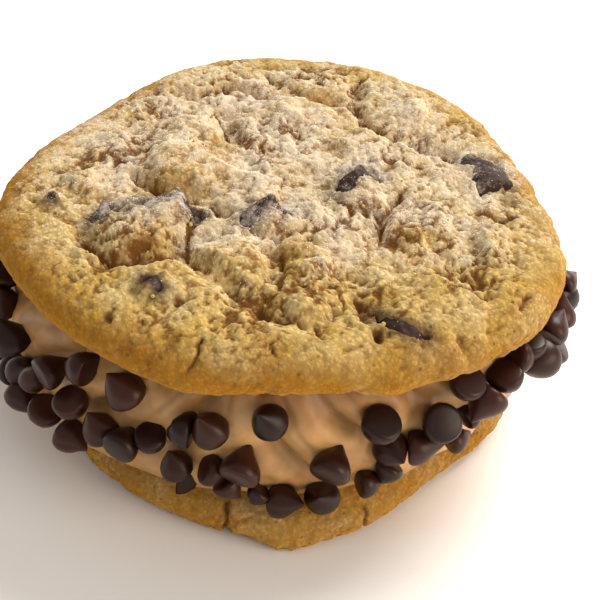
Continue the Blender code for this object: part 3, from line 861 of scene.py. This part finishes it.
# ---------------------------------------------------------------------------
# Pieces
# ---------------------------------------------------------------------------
def baked_chip_points(points, facts):
    """Turns a drop of radius and height 1 into a large chip in its place in the crust."""
    x, y, above, wide, long, turn, lean = facts
    level = TOP_BASE + TOP["thick"] + top_height(np.array([(x, y)], float))[0] + above
    turned = Matrix.Rotation(math.radians(turn), 3, "Z") @ Matrix.Rotation(math.radians(lean), 3, "Y")
    scaled = (points - (0, 0, 0.45)) * (wide / 2, wide / 2, long)
    return scaled @ np.array(turned).T + (x, y, level)


class COOKIE_OT_baked_chips(bpy.types.Operator):
    """Adds the large chocolate chips that are baked into the top crust"""

    bl_idname = "cookie.baked_chips"
    bl_label = "Baked Chips"

    def execute(self, context):
        settings = context.scene.cookie_chocolate
        material = baked_chip_material(settings)
        for number, facts in enumerate(BAKED_CHIPS, 1):
            made = add_drop(f"chocolate_chunk_{number}", 26, CHIP_RINGS)
            finer = made.modifiers.new("Smooth", "SUBSURF")
            finer.levels = finer.render_levels = 2
            bpy.ops.object.modifier_apply(modifier=finer.name)
            unit = points_of(made) * MM
            unit *= (1 + 0.08 * noise_at(unit, 0.6, number))[:, None]
            unit[:, 2] += 0.02
            points = baked_chip_points(unit, facts)
            outward = points - points.mean(0)
            outward /= np.linalg.norm(outward, axis=1)[:, None]
            rough = 0.45 * noise_at(points, 2.4, number) + 0.3 * noise_at(points, 1.0, number + 10)
            points += rough[:, None] * outward
            set_points(made, points + TO_CENTRE)
            made.data.shade_smooth()
            normals = np.array([vert.normal.z for vert in made.data.vertices])
            set_values(made, "sugar", smooth(0.0, 0.8, normals) * CHIP_DUST[number - 1])
            finish_piece(made, material, [f"baked_chip_{number}"])
        return {"FINISHED"}


class COOKIE_OT_top_cookie(bpy.types.Operator):
    """Adds the top cookie's crust, with its lumps, cracks and openings over the chips"""

    bl_idname = "cookie.top_cookie"
    bl_label = "Top Cookie"

    def execute(self, context):
        settings = context.scene.cookie_crust
        made, edge, around, flat, height, turn, facing = cookie_skin(
            "top_cookie_crust", TOP_RINGS, TOP_RADIUS, TOP_WAVES, TOP, TOP_BANDS,
        )
        tilt = np.degrees(turn)
        relief = top_height(flat, CRACK_STRAY)
        upper = np.clip(1 - turn / (math.pi / 2), 0, 1)
        points = np.column_stack([flat, TOP_BASE + height + upper * relief])

        # How strong the relief is: full in the middle, softer on the rim, nearly none below.
        inside = np.hypot(flat[:, 0], flat[:, 1]) / edge
        middle = (1 - smooth(0.80, 0.97, inside)) * (turn < math.pi / 2)
        under = smooth(150, 180, tilt)
        points += self.rim_swell(around, tilt, inside)
        lumps, crumbs, creases = crumbs_on(points, 5)
        patches = 0.5 + 0.5 * noise_at(points, 12.0, 3)
        rough = mix(settings.rim_roughness, 1.0, middle) * mix(0.7, 1.25, smooth(0.3, 0.7, patches))
        rough = rough * mix(1.0, 0.6, smooth(30, 75, tilt))
        crevice = crevices_on(points, *TOP_CREVICES, 9) * smooth(0.45, 0.75, patches)
        crevice = crevice * mix(0.3, 1.0, middle)
        hair = self.hairlines(points, flat) * upper**0.5
        # Low ground between the lumps is painted darker as painted shade, and takes less sugar.
        sunk = smooth(-0.5, -2.0, relief) * upper
        lobes = RIM_LOBES[1] * (np.abs(noise_at(points, RIM_LOBES[0], 15)) - 0.2)
        fine = settings.crumb_rise / MM * (lumps * mix(0.4, 1.0, middle) + crumbs * rough)
        fine += lobes * (1 - middle) * smooth(-0.4, 0.5, around[:, 0]) * mix(1.0, 0.3, under)
        fine -= settings.crevice_depth / MM * crevice + hair
        points += (fine * (1 - 0.8 * under))[:, None] * facing
        points, film, near_chip = self.open_over_chips(points, flat, upper)
        set_points(made, points + TO_CENTRE)
        made.data.shade_smooth()

        # The side is browned most. Its colour is also painted paler at the right and darker at the left:
        # painted light and shade for a light from the right.
        painted_side_light = mix(1.0, 0.65, smooth(-0.2, 0.8, around[:, 0]))
        painted_side_light += 0.25 * smooth(-0.3, -0.9, around[:, 0])
        browned = 0.05 + painted_side_light * (0.6 * smooth(0.82, 1.0, inside) + 0.5 * smooth(35, 105, tilt))
        # The bare patches are also painted darker: painted shade on the shaded sides of lumps and in
        # hollows.
        browned += 0.32 * noise_at(points, 8.0, 12) + 0.7 * self.bare_and_shaded(points)
        # Painted shade: crevices, hairline cracks, creases between crumbs and low ground are darkened.
        hollow_shade = 0.8 * crevice + 0.7 * hair + 0.7 * creases * rough + 0.4 * sunk
        catching = crumbs - 0.3 * creases - 0.4 * sunk
        sugar = self.sugar_on(points, tilt, catching, hair + crevice, settings.sugar_cover)
        set_values(made, "browned", browned)
        set_values(made, "hollow_shade", hollow_shade)
        set_values(made, "film", film)
        set_values(made, "sugar", (sugar + 0.3 * near_chip) * (1 - 0.3 * film))
        finish_piece(made, crust_material(settings), ["cookie_top"])
        return {"FINISHED"}

    def hairlines(self, points, flat):
        """Depth of the narrow cracks, which follow the named lines but wander off them."""
        wiggle = np.stack([noise_at(points, 2.2, k) for k in (31, 32)], 1)
        hair = np.zeros(len(points))
        for depth, wide, *line in HAIRLINES:
            hair = np.maximum(hair, depth * np.exp(-((off_line(flat + 0.7 * wiggle, line) / wide) ** 2)))
        for depth, *line in CRACKS:
            near = np.exp(-((off_line(flat + CRACK_STRAY * wiggle, line) / 0.5) ** 2))
            hair = np.maximum(hair, 0.45 * depth * near * smooth(-0.1, 0.4, wiggle[:, 0] + 0.1))
        return hair

    def rim_swell(self, around, tilt, inside):
        """How far the rim droops or swells out of its plain shape, round the cookie."""
        degrees = np.degrees(np.arctan2(around[:, 1], around[:, 0]))
        moved = np.zeros((len(tilt), 3))
        for middle, wide, out, down in RIM_SWELLS:
            near = np.exp(-((((degrees - middle + 180) % 360 - 180) / wide) ** 2))
            side = smooth(20, 110, tilt) * smooth(0.80, 0.93, inside)
            moved[:, :2] += (near * side * out)[:, None] * around
            moved[:, 2] -= near * side * down
        return moved

    def open_over_chips(self, points, flat, upper):
        """Coats each large chip with dough, and opens the dough where the chip shows.

        Returns the moved points and, from 0 to 1, where a chip shows through thin dough and
        where sugar has gathered behind it.
        """
        film = np.zeros(len(points))
        beside = np.zeros(len(points))
        for number, (half, thin, *line) in enumerate(OPENINGS, 1):
            chip = bpy.data.objects[f"chocolate_chunk_{number}"]
            tree = BVHTree.FromPolygons(
                [vert.co for vert in chip.data.vertices], [face.vertices for face in chip.data.polygons],
            )
            x, y = BAKED_CHIPS[number - 1][:2]
            close = np.hypot(flat[:, 0] - x, flat[:, 1] - y) < COAT_REACH
            near = np.nonzero(close & (upper > 0.05))[0]
            ragged = 0.6 * noise_at(points[near], 1.3, 40 + number) + 0.7 * noise_at(points[near], 3.0, 60)
            ragged *= 0.3 + 0.4 * half
            off = off_line(flat[near], line)
            opening = smooth(half + 0.4, half - 0.3, off + ragged)
            film[near] = np.maximum(film[near], thin * smooth(half + 3.2, half - 0.1, off + 1.6 * ragged))
            behind = smooth(-0.5, 1.5, flat[near, 1] - line[len(line) // 2][1])
            beside[near] = np.maximum(beside[near], behind * np.exp(-(((off - half - 0.9) / 0.9) ** 2)))
            for index, opened in zip(near, opening):
                start = Vector((points[index] + TO_CENTRE) * MM)
                start.z = (TOP_BASE + 25) * MM
                hit = tree.ray_cast(start, Vector((0, 0, -1)))[0]
                here = points[index, 2]
                if hit is None:
                    points[index, 2] = here - 0.9 * opened
                else:
                    chip_top = hit.z / MM
                    coated = max(here, chip_top + COAT_THICK)
                    points[index, 2] = mix(coated, min(here, chip_top - COAT_OPENED), opened)
        return points, film, beside

    def bare_and_shaded(self, points):
        """How bare of sugar the named patches have stayed, at each point; the same share paints the crust
        darker as painted shade.
        """
        total = np.zeros(len(points))
        for x, y, radius, bare in BARE_SHADED_PATCHES:
            total += bare * np.exp(-(np.hypot(points[:, 0] - x, points[:, 1] - y) / radius) ** 2)
        return total

    def sugar_on(self, points, tilt, catching, cracked, thickest):
        """Where icing sugar has settled: thick in the middle, thin at the front, none in cracks."""
        across = np.linalg.norm((points[:, :2] - SUGAR_MIDDLE) / SUGAR_RADII, axis=1)
        cover = thickest * (1 - smooth(0.6, 1.2, across))
        cover += 0.2 * noise_at(points, 7.0, 51) + 0.12 * noise_at(points, 2.6, 52)
        cover -= 0.42 * smooth(*SUGAR_FRONT, points[:, 1] + 9 * noise_at(points, 8.0, 53))
        cover -= self.bare_and_shaded(points) + 0.5 * smooth(0.2, 1.0, cracked)
        cover += 0.34 * catching
        return cover * smooth(75, 25, tilt)


class COOKIE_OT_bottom_cookie(bpy.types.Operator):
    """Adds the bottom cookie's crust, with the crack and the flaky ledge in its front edge"""

    bl_idname = "cookie.bottom_cookie"
    bl_label = "Bottom Cookie"

    def execute(self, context):
        settings = context.scene.cookie_crust
        made, edge, around, flat, height, turn, facing = cookie_skin(
            "bottom_cookie_crust", BOTTOM_RINGS, BOTTOM_RADIUS, BOTTOM_WAVES, BOTTOM, BOTTOM_BANDS,
        )
        tilt = np.degrees(turn)
        inner = np.hypot(flat[:, 0], flat[:, 1]) / (edge - BOTTOM["shoulder"])
        sunk = np.array([noise.noise(Vector((x, y, 0)) / 6) for x, y in flat])
        upper = np.clip(1 - turn / (math.pi / 2), 0, 1)
        height = height - upper * 0.5 * smooth(0.8, 1.0, inner) * (1 + sunk)
        points = np.column_stack([flat, height])
        shown = smooth(0.97, 1.06, inner) * smooth(172, 150, tilt)
        lumps, crumbs, creases = crumbs_on(points, 61)
        patches = 0.5 + 0.5 * noise_at(points, 11, 68)
        crevice = crevices_on(points, *BOTTOM_CREVICES, 67) * smooth(0.4, 0.75, patches)
        degrees = np.degrees(np.arctan2(around[:, 1], around[:, 0])) + 1.3 * noise_at(points, 2.0, 71)
        crack = np.zeros(len(points))
        for azimuth, spread, depth, start, full in BOTTOM_CRACKS:
            crack += depth * np.exp(-(((degrees - azimuth) / spread) ** 2)) * smooth(start, full, tilt)
        azimuth, spread, start, full = BOTTOM_LEDGE
        ledge = np.exp(-(((degrees - azimuth) / spread) ** 2)) * smooth(start, full, tilt)
        torn = noise_at(points, 1.6, 72)
        fine = 0.35 * lumps + 0.4 * crumbs - 0.4 * crevice - 1.5 * crack + ledge * (1.2 + 1.1 * torn)
        points += (fine * shown)[:, None] * facing
        points[:, 2] = np.maximum(points[:, 2], 0.0)
        set_points(made, points + TO_CENTRE)
        made.data.shade_smooth()
        browned = 0.6 + 0.25 * smooth(30, 110, tilt) + 0.25 * noise_at(points, 8.0, 73)
        set_values(made, "browned", browned)
        # Painted shade: crevices, cracks and creases are darkened.
        set_values(made, "hollow_shade", (0.4 * crevice + 0.9 * crack + 0.1 * creases) * shown)
        finish_piece(made, crust_material(settings), ["cookie_bottom"])
        return {"FINISHED"}


def floor_under(point):
    """Height of the bottom cookie's crust under a point, or 0 beyond its edge."""
    angle = math.atan2(point[1], point[0])
    edge = BOTTOM_RADIUS + wave(angle, BOTTOM_WAVES) + 2 * GAP
    share = max(0.0, (math.hypot(point[0], point[1]) - edge + BOTTOM["shoulder"]) / BOTTOM["shoulder"])
    if share >= 1:
        return 0.0
    return BOTTOM["widest"] + (BOTTOM["thick"] - BOTTOM["widest"]) * math.sqrt(1 - share * share)


def off_cream(point):
    """How far a point stands out of the cream's side."""
    height = min(CREAM_THICK, max(0.0, point[2] - CREAM_BASE))
    side = cream_point(math.atan2(point[1], point[0]), height)
    return math.hypot(point[0], point[1]) - math.hypot(side[0], side[1])


def mini_chip_places():
    """Azimuth, height, turn, lift and size of every mini chip, all round the cream."""
    draw = random.Random(MINI_SEED)
    for degrees, height, turn, lift, size in SHOWN_MINI_CHIPS:
        yield math.radians(degrees), height, math.radians(turn), math.radians(lift), size
    for row, height in enumerate(MINI_ROWS):
        angle = math.radians(MINI_ROWS_FROM + 4 * row)
        while angle < math.radians(MINI_ROWS_TO):
            if draw.random() > MINI_MISSING:
                turn, lift = draw.uniform(0, math.tau), draw.uniform(-1.2, 1.0)
                raised = draw.uniform(-1.5, 2.0)
                yield angle, height + raised, turn, lift, draw.uniform(0.9, 1.08)
            angle += MINI_ROW_STEP * draw.uniform(0.9, 1.1)


def mini_chip_matrix(angle, height, turn, lift, size):
    """Sets a mini chip on the cream, its tip turned along the surface and lifted off it."""
    out = Vector((math.cos(angle), math.sin(angle), 0))
    flat = Vector((0, 0, math.cos(turn))) + Vector((-out.y, out.x, 0)) * math.sin(turn)
    axis = flat * math.cos(lift) + out * math.sin(lift)
    radius, tall = MINI_RADIUS * size, MINI_HEIGHT * size
    middle = Vector(cream_point(angle, height - CREAM_BASE)) + out * radius
    turned = axis.to_track_quat("Z", "Y").to_matrix().to_4x4()
    scale = Matrix.Diagonal((radius, radius, tall, 1))
    return Matrix.Translation(middle) @ turned @ scale @ Matrix.Translation((0, 0, -0.4))


def settled(points, angle):
    """Moves a mini chip until it is a little sunk in the cream and clears both cookies."""
    for _ in range(SETTLING_ROUNDS):
        rise = max(floor_under(point) + 2 * GAP - point[2] for point in points)
        drop = max(point[2] - TOP_BASE + GAP for point in points)
        points = points + (0, 0, max(0, rise) - max(0, drop))
        stand_out = min(off_cream(point) for point in points)
        inward = -stand_out - MINI_SUNK
        points = points + (inward * math.cos(angle), inward * math.sin(angle), 0)
    return points


def mini_chip_shifts():
    """Each mini chip's matrix in millimetres, settled in the cream as its solid is."""
    turns = [math.tau * i / SETTLING_SIDES for i in range(SETTLING_SIDES)]
    drop = [(r * math.cos(a), r * math.sin(a), z, 1) for r, z in SETTLING_RINGS for a in turns]
    drop = np.array(drop + [(0, 0, 1, 1)])
    found = []
    for facts in mini_chip_places():
        matrix = np.array(mini_chip_matrix(*facts))
        points = (drop @ matrix.T)[:, :3]
        moved = settled(points, facts[0])
        matrix[:3, 3] += moved[0] - points[0]
        found.append(matrix)
    return found


class COOKIE_OT_cream(bpy.types.Operator):
    """Adds the piped cream, swollen a little round every chip pressed into it"""

    bl_idname = "cookie.cream"
    bl_label = "Piped Cream"

    def execute(self, context):
        settings = context.scene.cookie_cream
        start_fresh()
        bpy.ops.mesh.primitive_cylinder_add(vertices=CREAM_STEPS, radius=1, depth=1)
        made = bpy.context.object
        made.name = "piped_cream"
        bpy.ops.object.mode_set(mode="EDIT")
        shape = bmesh.from_edit_mesh(made.data)
        bpy.ops.mesh.select_mode(type="EDGE")
        bpy.ops.mesh.select_all(action="DESELECT")
        for line in shape.edges:
            line.select = abs(line.verts[0].co.z - line.verts[1].co.z) > 0.5
        bmesh.update_edit_mesh(made.data)
        bpy.ops.mesh.subdivide(number_cuts=CREAM_ROWS - 1)
        bpy.ops.object.mode_set(mode="OBJECT")
        unit = points_of(made) * MM
        angle = np.arctan2(unit[:, 1], unit[:, 0])
        height = np.clip(unit[:, 2] + 0.5, 0, 1) * CREAM_THICK
        points = np.array([cream_point(a, h) for a, h in zip(angle, height)])
        swept = np.array([cream_point(a, h, 1) for a, h in zip(angle, height)])
        side = np.sin(np.pi * np.clip(unit[:, 2] + 0.5, 0, 1)) ** 0.5
        out = np.stack([np.cos(angle), np.sin(angle), np.zeros(len(angle))], 1)
        stretched = points * (1, 1, 0.45)
        ripple = noise_at(stretched, 3.4, 81) + 0.4 * noise_at(stretched, 1.5, 82)
        share = height / CREAM_THICK
        wander = angle + fold_lean(angle, share, 1) + 0.05 * noise_at(points, 14.0, 84)
        crest = np.abs(np.sin(CREAM_FOLDS * wander / 2)) ** 0.7
        ridge = np.abs(np.sin(CREAM_FOLDS * wander + 0.7)) ** 0.8
        groove = np.cos(CREAM_GROOVES * wander + 1.5 * noise_at(points, 9.0, 83))
        swell, free = np.zeros(len(points)), np.ones(len(points))
        for matrix in mini_chip_shifts():
            middle, radius = matrix[:3, 3], np.linalg.norm(matrix[:3, 0])
            near = np.linalg.norm(points - middle, axis=1)
            swell = np.maximum(swell, np.exp(-(((near - 1.15 * radius) / 0.9) ** 2)))
            free = np.minimum(free, smooth(0.9 * radius, 1.8 * radius, near))
        moved = (settings.ripple * ripple + settings.press * swell + settings.groove * groove) / MM * side
        moved += (settings.fold * (crest - 0.8) + settings.ridge * (ridge - 0.7)) / MM * side * free
        points = mix(points, swept, free[:, None]) + moved[:, None] * out
        set_points(made, points + TO_CENTRE)
        made.data.shade_smooth()
        # Painted shade down in the folds and between ridges, and painted shadow just under the top cookie.
        fold_shade = np.maximum(0.7 * smooth(0.7, 0.0, crest), 0.4 * smooth(0.6, 0.0, ridge))
        fold_shade = fold_shade * side * (0.3 + 0.7 * free) + 0.7 * smooth(0.66, 0.95, share)
        set_values(made, "fold_shade", fold_shade)
        finish_piece(made, cream_material(settings), ["cream"])
        return {"FINISHED"}


class COOKIE_OT_mini_chips(bpy.types.Operator):
    """Adds the mini chocolate chips pressed into the cream's side"""

    bl_idname = "cookie.mini_chips"
    bl_label = "Mini Chips"

    def execute(self, context):
        settings = context.scene.cookie_chocolate
        pattern = add_drop("chip pattern", 20, MINI_RINGS)
        unit = points_of(pattern) * MM
        draw = random.Random(MINI_SEED + 1)
        copies = []
        for number, matrix in enumerate(mini_chip_shifts()):
            bend, way = settings.bend * draw.uniform(0.0, 1.3), draw.uniform(0, math.tau)
            tip = np.clip(unit[:, 2] - 0.35, 0, 1)[:, None] ** 1.6
            shaped = unit + tip * bend * np.array((math.cos(way), math.sin(way), 0))
            shaped *= (1 + 0.05 * noise_at(unit + (0, 0, number), 0.8, 91))[:, None]
            if number in MINI_SHARDS or number % MINI_SHARD_EACH == MINI_SHARD_FIRST:
                slope = draw.uniform(0.3, 0.6)
                cut = np.minimum(shaped[:, 2], 0.42 + slope * shaped[:, 0])
                shaped = np.column_stack([shaped[:, :2], np.maximum(cut, 0.0)])
            slimmed = shaped * (MINI_SLIM, MINI_SLIM, 1)
            placed = slimmed @ matrix[:3, :3].T + matrix[:3, 3] + TO_CENTRE
            mesh = pattern.data.copy()
            mesh.vertices.foreach_set("co", (placed * MM).ravel())
            copy = bpy.data.objects.new(f"chip {number}", mesh)
            bpy.context.scene.collection.objects.link(copy)
            set_values(copy, "tone", np.full(len(placed), draw.random()))
            copies.append(copy)
        bpy.data.objects.remove(pattern)
        start_fresh()
        for copy in copies:
            copy.select_set(True)
        made = copies[0]
        context.view_layer.objects.active = made
        bpy.ops.object.join()
        made.name = "mini_chips"
        made.data.shade_smooth()
        finish_piece(made, mini_chip_material(settings), ["cream"])
        return {"FINISHED"}


def picked_spots(made, weights, count, seed):
    """Random spots on a piece, likelier where the weights are high: place and normal."""
    draw = np.random.default_rng(seed)
    mesh = made.data
    mesh.calc_loop_triangles()
    corners = np.zeros(len(mesh.loop_triangles) * 3, np.int32)
    mesh.loop_triangles.foreach_get("vertices", corners)
    corners = corners.reshape(-1, 3)
    points = points_of(made)
    normals = np.zeros(len(mesh.vertices) * 3)
    mesh.vertices.foreach_get("normal", normals)
    normals = normals.reshape(-1, 3)
    a, b, c = (points[corners[:, k]] for k in range(3))
    area = np.linalg.norm(np.cross(b - a, c - a), axis=1)
    chance = area * weights[corners].mean(1)
    chosen = draw.choice(len(corners), count, p=chance / chance.sum())
    u, v = draw.random(count), draw.random(count)
    over = u + v > 1
    u[over], v[over] = 1 - u[over], 1 - v[over]
    spot = a[chosen] + u[:, None] * (b - a)[chosen] + v[:, None] * (c - a)[chosen]
    return spot, normals[corners[chosen, 0]], draw


def grain_matrices(spots, normals, sizes, draw):
    """A matrix for each grain, turned at random and resting on its spot."""
    matrices = np.zeros((len(spots), 4, 4))
    for k, (spot, normal, size) in enumerate(zip(spots, normals, sizes)):
        turned = Matrix.Rotation(draw.uniform(0, math.tau), 3, Vector(draw.normal(size=3)).normalized())
        stretch = Matrix.Diagonal(Vector(draw.uniform(0.65, 1.2, 3)))
        matrices[k, :3, :3] = np.array(turned @ stretch) * size * MM
        matrices[k, :3, 3] = (spot + 0.45 * size * normal) * MM
    return matrices


def vertex_values(made, name):
    """The numbers kept for a piece's vertices by this name."""
    values = np.zeros(len(made.data.vertices), np.float32)
    made.data.attributes[name].data.foreach_get("value", values)
    return values


class COOKIE_OT_crumbs(bpy.types.Operator):
    """Adds loose crumbs on the top cookie's crust"""

    bl_idname = "cookie.crumbs"
    bl_label = "Loose Crumbs"

    def execute(self, context):
        dusting = context.scene.cookie_dusting
        crust = bpy.data.objects["top_cookie_crust"]
        points = points_of(crust)
        upward = np.array([vert.normal.z for vert in crust.data.vertices])
        high = points[:, 2] > TOP_BASE + TOP["thick"] - 3
        reach = np.hypot(points[:, 0], points[:, 1])
        weights = np.clip(upward, 0, 1) * high * (0.02 + smooth(45, 30, reach))
        spots, normals, draw = picked_spots(crust, weights, dusting.crumbs, 101)
        sizes = dusting.crumb_size / MM * draw.uniform(0.35, 1.0, len(spots)) ** 1.5
        made = scatter("loose_crumbs", grain_matrices(spots, normals, sizes, draw))
        each = len(made.data.vertices) // len(spots)
        for name, most in (("browned", 0.35), ("sugar", 0.55)):
            set_values(made, name, np.repeat(draw.uniform(0, most, len(spots)), each))
        finish_piece(made, crust_material(context.scene.cookie_crust), [])
        return {"FINISHED"}


class COOKIE_OT_sugar(bpy.types.Operator):
    """Adds clumps of icing sugar where the dust lies thickest"""

    bl_idname = "cookie.sugar"
    bl_label = "Icing Sugar"

    def execute(self, context):
        dusting = context.scene.cookie_dusting
        crust = bpy.data.objects["top_cookie_crust"]
        weights = vertex_values(crust, "sugar") ** 1.8 + 0.001
        weights = weights * (points_of(crust)[:, 2] > TOP_BASE + TOP["thick"] - 2)
        spots, normals, draw = picked_spots(crust, weights, dusting.grains, 111)
        found = [self.on_chip(number, crust) for number in range(1, len(BAKED_CHIPS) + 1)]
        spots = np.concatenate([spots] + [places for places, _ in found])
        normals = np.concatenate([normals] + [facing for _, facing in found])
        sizes = dusting.grain_size / MM * draw.uniform(0.3, 1.0, len(spots)) ** 1.4
        sizes[dusting.grains:] *= CHIP_CLUMP_SIZE
        made = scatter("icing_sugar", grain_matrices(spots, normals, sizes, draw))
        finish_piece(made, sugar_material(dusting), [])
        return {"FINISHED"}

    def on_chip(self, number, crust):
        """Spots for clumps on the bare part of a large chip."""
        chip = bpy.data.objects[f"chocolate_chunk_{number}"]
        upward = np.array([vert.normal.z for vert in chip.data.vertices])
        count = int(CHIP_CLUMPS * CHIP_DUST[number - 1])
        spots, normals, _ = picked_spots(chip, np.clip(upward, 0, 1) + 1e-6, count, 120 + number)
        dough = BVHTree.FromObject(crust, bpy.context.evaluated_depsgraph_get())
        up = Vector((0, 0, 1))
        open_above = [dough.ray_cast(Vector(spot) * MM, up)[0] is None for spot in spots]
        return spots[open_above], normals[open_above]


class COOKIE_OT_stage(bpy.types.Operator):
    """Adds the floor, the lights and the camera"""

    bl_idname = "cookie.stage"
    bl_label = "Stage"

    # The camera's target in millimetres, its focal length in pixels, the image's side in pixels
    # and the sensor's width in millimetres.
    look_at = (5.01, -6.27, 25.0)
    focal = 1491.75
    image_side = 600
    sensor = 36.0
    # The floor's side and its gap under the cookie, in metres.
    floor_side = 3.0
    floor_gap = 0.0002
    # Where the lights point, then each light's place and size in metres and its colour.
    lit_point = Vector((0, 0, 0.03))
    window_light = ((0.7, 0.88, 1.2), 1.1, "#FFFBF3")
    front_light = ((1.25, -0.6, 0.5), 0.9, "#FFE8CC")
    sky_colour = "#FFFCF8"

    def execute(self, context):
        settings = context.scene.cookie_stage
        scene = context.scene
        start_fresh()
        bpy.ops.mesh.primitive_plane_add(size=self.floor_side, location=(0, 0, -self.floor_gap))
        floor = context.object
        floor.name = "floor"
        floor.data.transform(Matrix.Translation(floor.location))
        floor.location = (0, 0, 0)
        floor.data.materials.append(floor_material(settings))
        self.add_light("window light", settings.key_power, *self.window_light)
        self.add_light("front light", settings.fill_power, *self.front_light)
        world = bpy.data.worlds.new("soft sky")
        world.use_nodes = True
        even_light = {"Color": (*to_linear(self.sky_colour), 1), "Strength": settings.sky}
        set_up(world.node_tree, world.node_tree.nodes["Background"], even_light)
        scene.world = world
        scene.view_settings.view_transform = "Standard"
        self.add_camera(scene, settings)
        return {"FINISHED"}

    def add_light(self, name, power, place, size, code):
        """A round, soft light that points at the sandwich."""
        data = bpy.data.lights.new(name, "AREA")
        data.shape = "DISK"
        data.size = size
        data.energy = power
        data.color = to_linear(code)
        made = bpy.data.objects.new(name, data)
        made.location = place
        made.rotation_euler = (self.lit_point - made.location).to_track_quat("-Z", "Y").to_euler()
        bpy.context.scene.collection.objects.link(made)

    def add_camera(self, scene, settings):
        """A camera that looks down on the sandwich from the front, a little rolled."""
        rise, roll = settings.elevation, settings.roll
        back = Vector((0, -math.cos(rise), math.sin(rise)))
        level = Vector((1, 0, 0))
        upward = back.cross(level)
        right = math.cos(roll) * level + math.sin(roll) * upward
        top = math.cos(roll) * upward - math.sin(roll) * level
        matrix = Matrix((right, top, back)).transposed().to_4x4()
        matrix.translation = Vector(self.look_at) * MM + back * settings.distance
        data = bpy.data.cameras.new("camera")
        data.sensor_width = self.sensor
        data.lens = self.focal / self.image_side * self.sensor
        data.clip_start = 0.01
        camera = bpy.data.objects.new("camera", data)
        camera.matrix_world = matrix
        scene.collection.objects.link(camera)
        scene.camera = camera


class COOKIE_PT_panel(bpy.types.Panel):
    """Lists the sandwich's pieces and their settings"""

    bl_label = "Cookie Cannoli"
    bl_idname = "COOKIE_PT_panel"
    bl_space_type = "VIEW_3D"
    bl_region_type = "UI"
    bl_category = "Cookie"

    def draw(self, context):
        for settings in SETTINGS:
            box = self.layout.box()
            box.label(text=settings[1].__name__.replace("Settings", ""))
            group = getattr(context.scene, settings[0])
            for name in group.bl_rna.properties.keys():
                if name not in ("rna_type", "name"):
                    box.prop(group, name)
        for piece in PIECES:
            self.layout.operator(piece.bl_idname)


SETTINGS = (
    ("cookie_crust", CrustSettings),
    ("cookie_cream", CreamSettings),
    ("cookie_chocolate", ChocolateSettings),
    ("cookie_dusting", DustingSettings),
    ("cookie_stage", StageSettings),
)
PIECES = (
    COOKIE_OT_baked_chips,
    COOKIE_OT_top_cookie,
    COOKIE_OT_bottom_cookie,
    COOKIE_OT_cream,
    COOKIE_OT_mini_chips,
    COOKIE_OT_crumbs,
    COOKIE_OT_sugar,
    COOKIE_OT_stage,
)


def register():
    """Registers the settings, the operators and the panel."""
    for name, kind in SETTINGS:
        bpy.utils.register_class(kind)
        setattr(bpy.types.Scene, name, PointerProperty(type=kind))
    for kind in (*PIECES, COOKIE_PT_panel):
        bpy.utils.register_class(kind)


def unregister():
    """Takes them all away again."""
    for kind in (COOKIE_PT_panel, *reversed(PIECES)):
        bpy.utils.unregister_class(kind)
    for name, kind in reversed(SETTINGS):
        delattr(bpy.types.Scene, name)
        bpy.utils.unregister_class(kind)


def main():
    """Builds every piece in order."""
    register()
    bpy.ops.cookie.baked_chips()
    bpy.ops.cookie.top_cookie()
    bpy.ops.cookie.bottom_cookie()
    bpy.ops.cookie.cream()
    bpy.ops.cookie.mini_chips()
    bpy.ops.cookie.crumbs()
    bpy.ops.cookie.sugar()
    bpy.ops.cookie.stage()


if __name__ == "__main__":
    main()
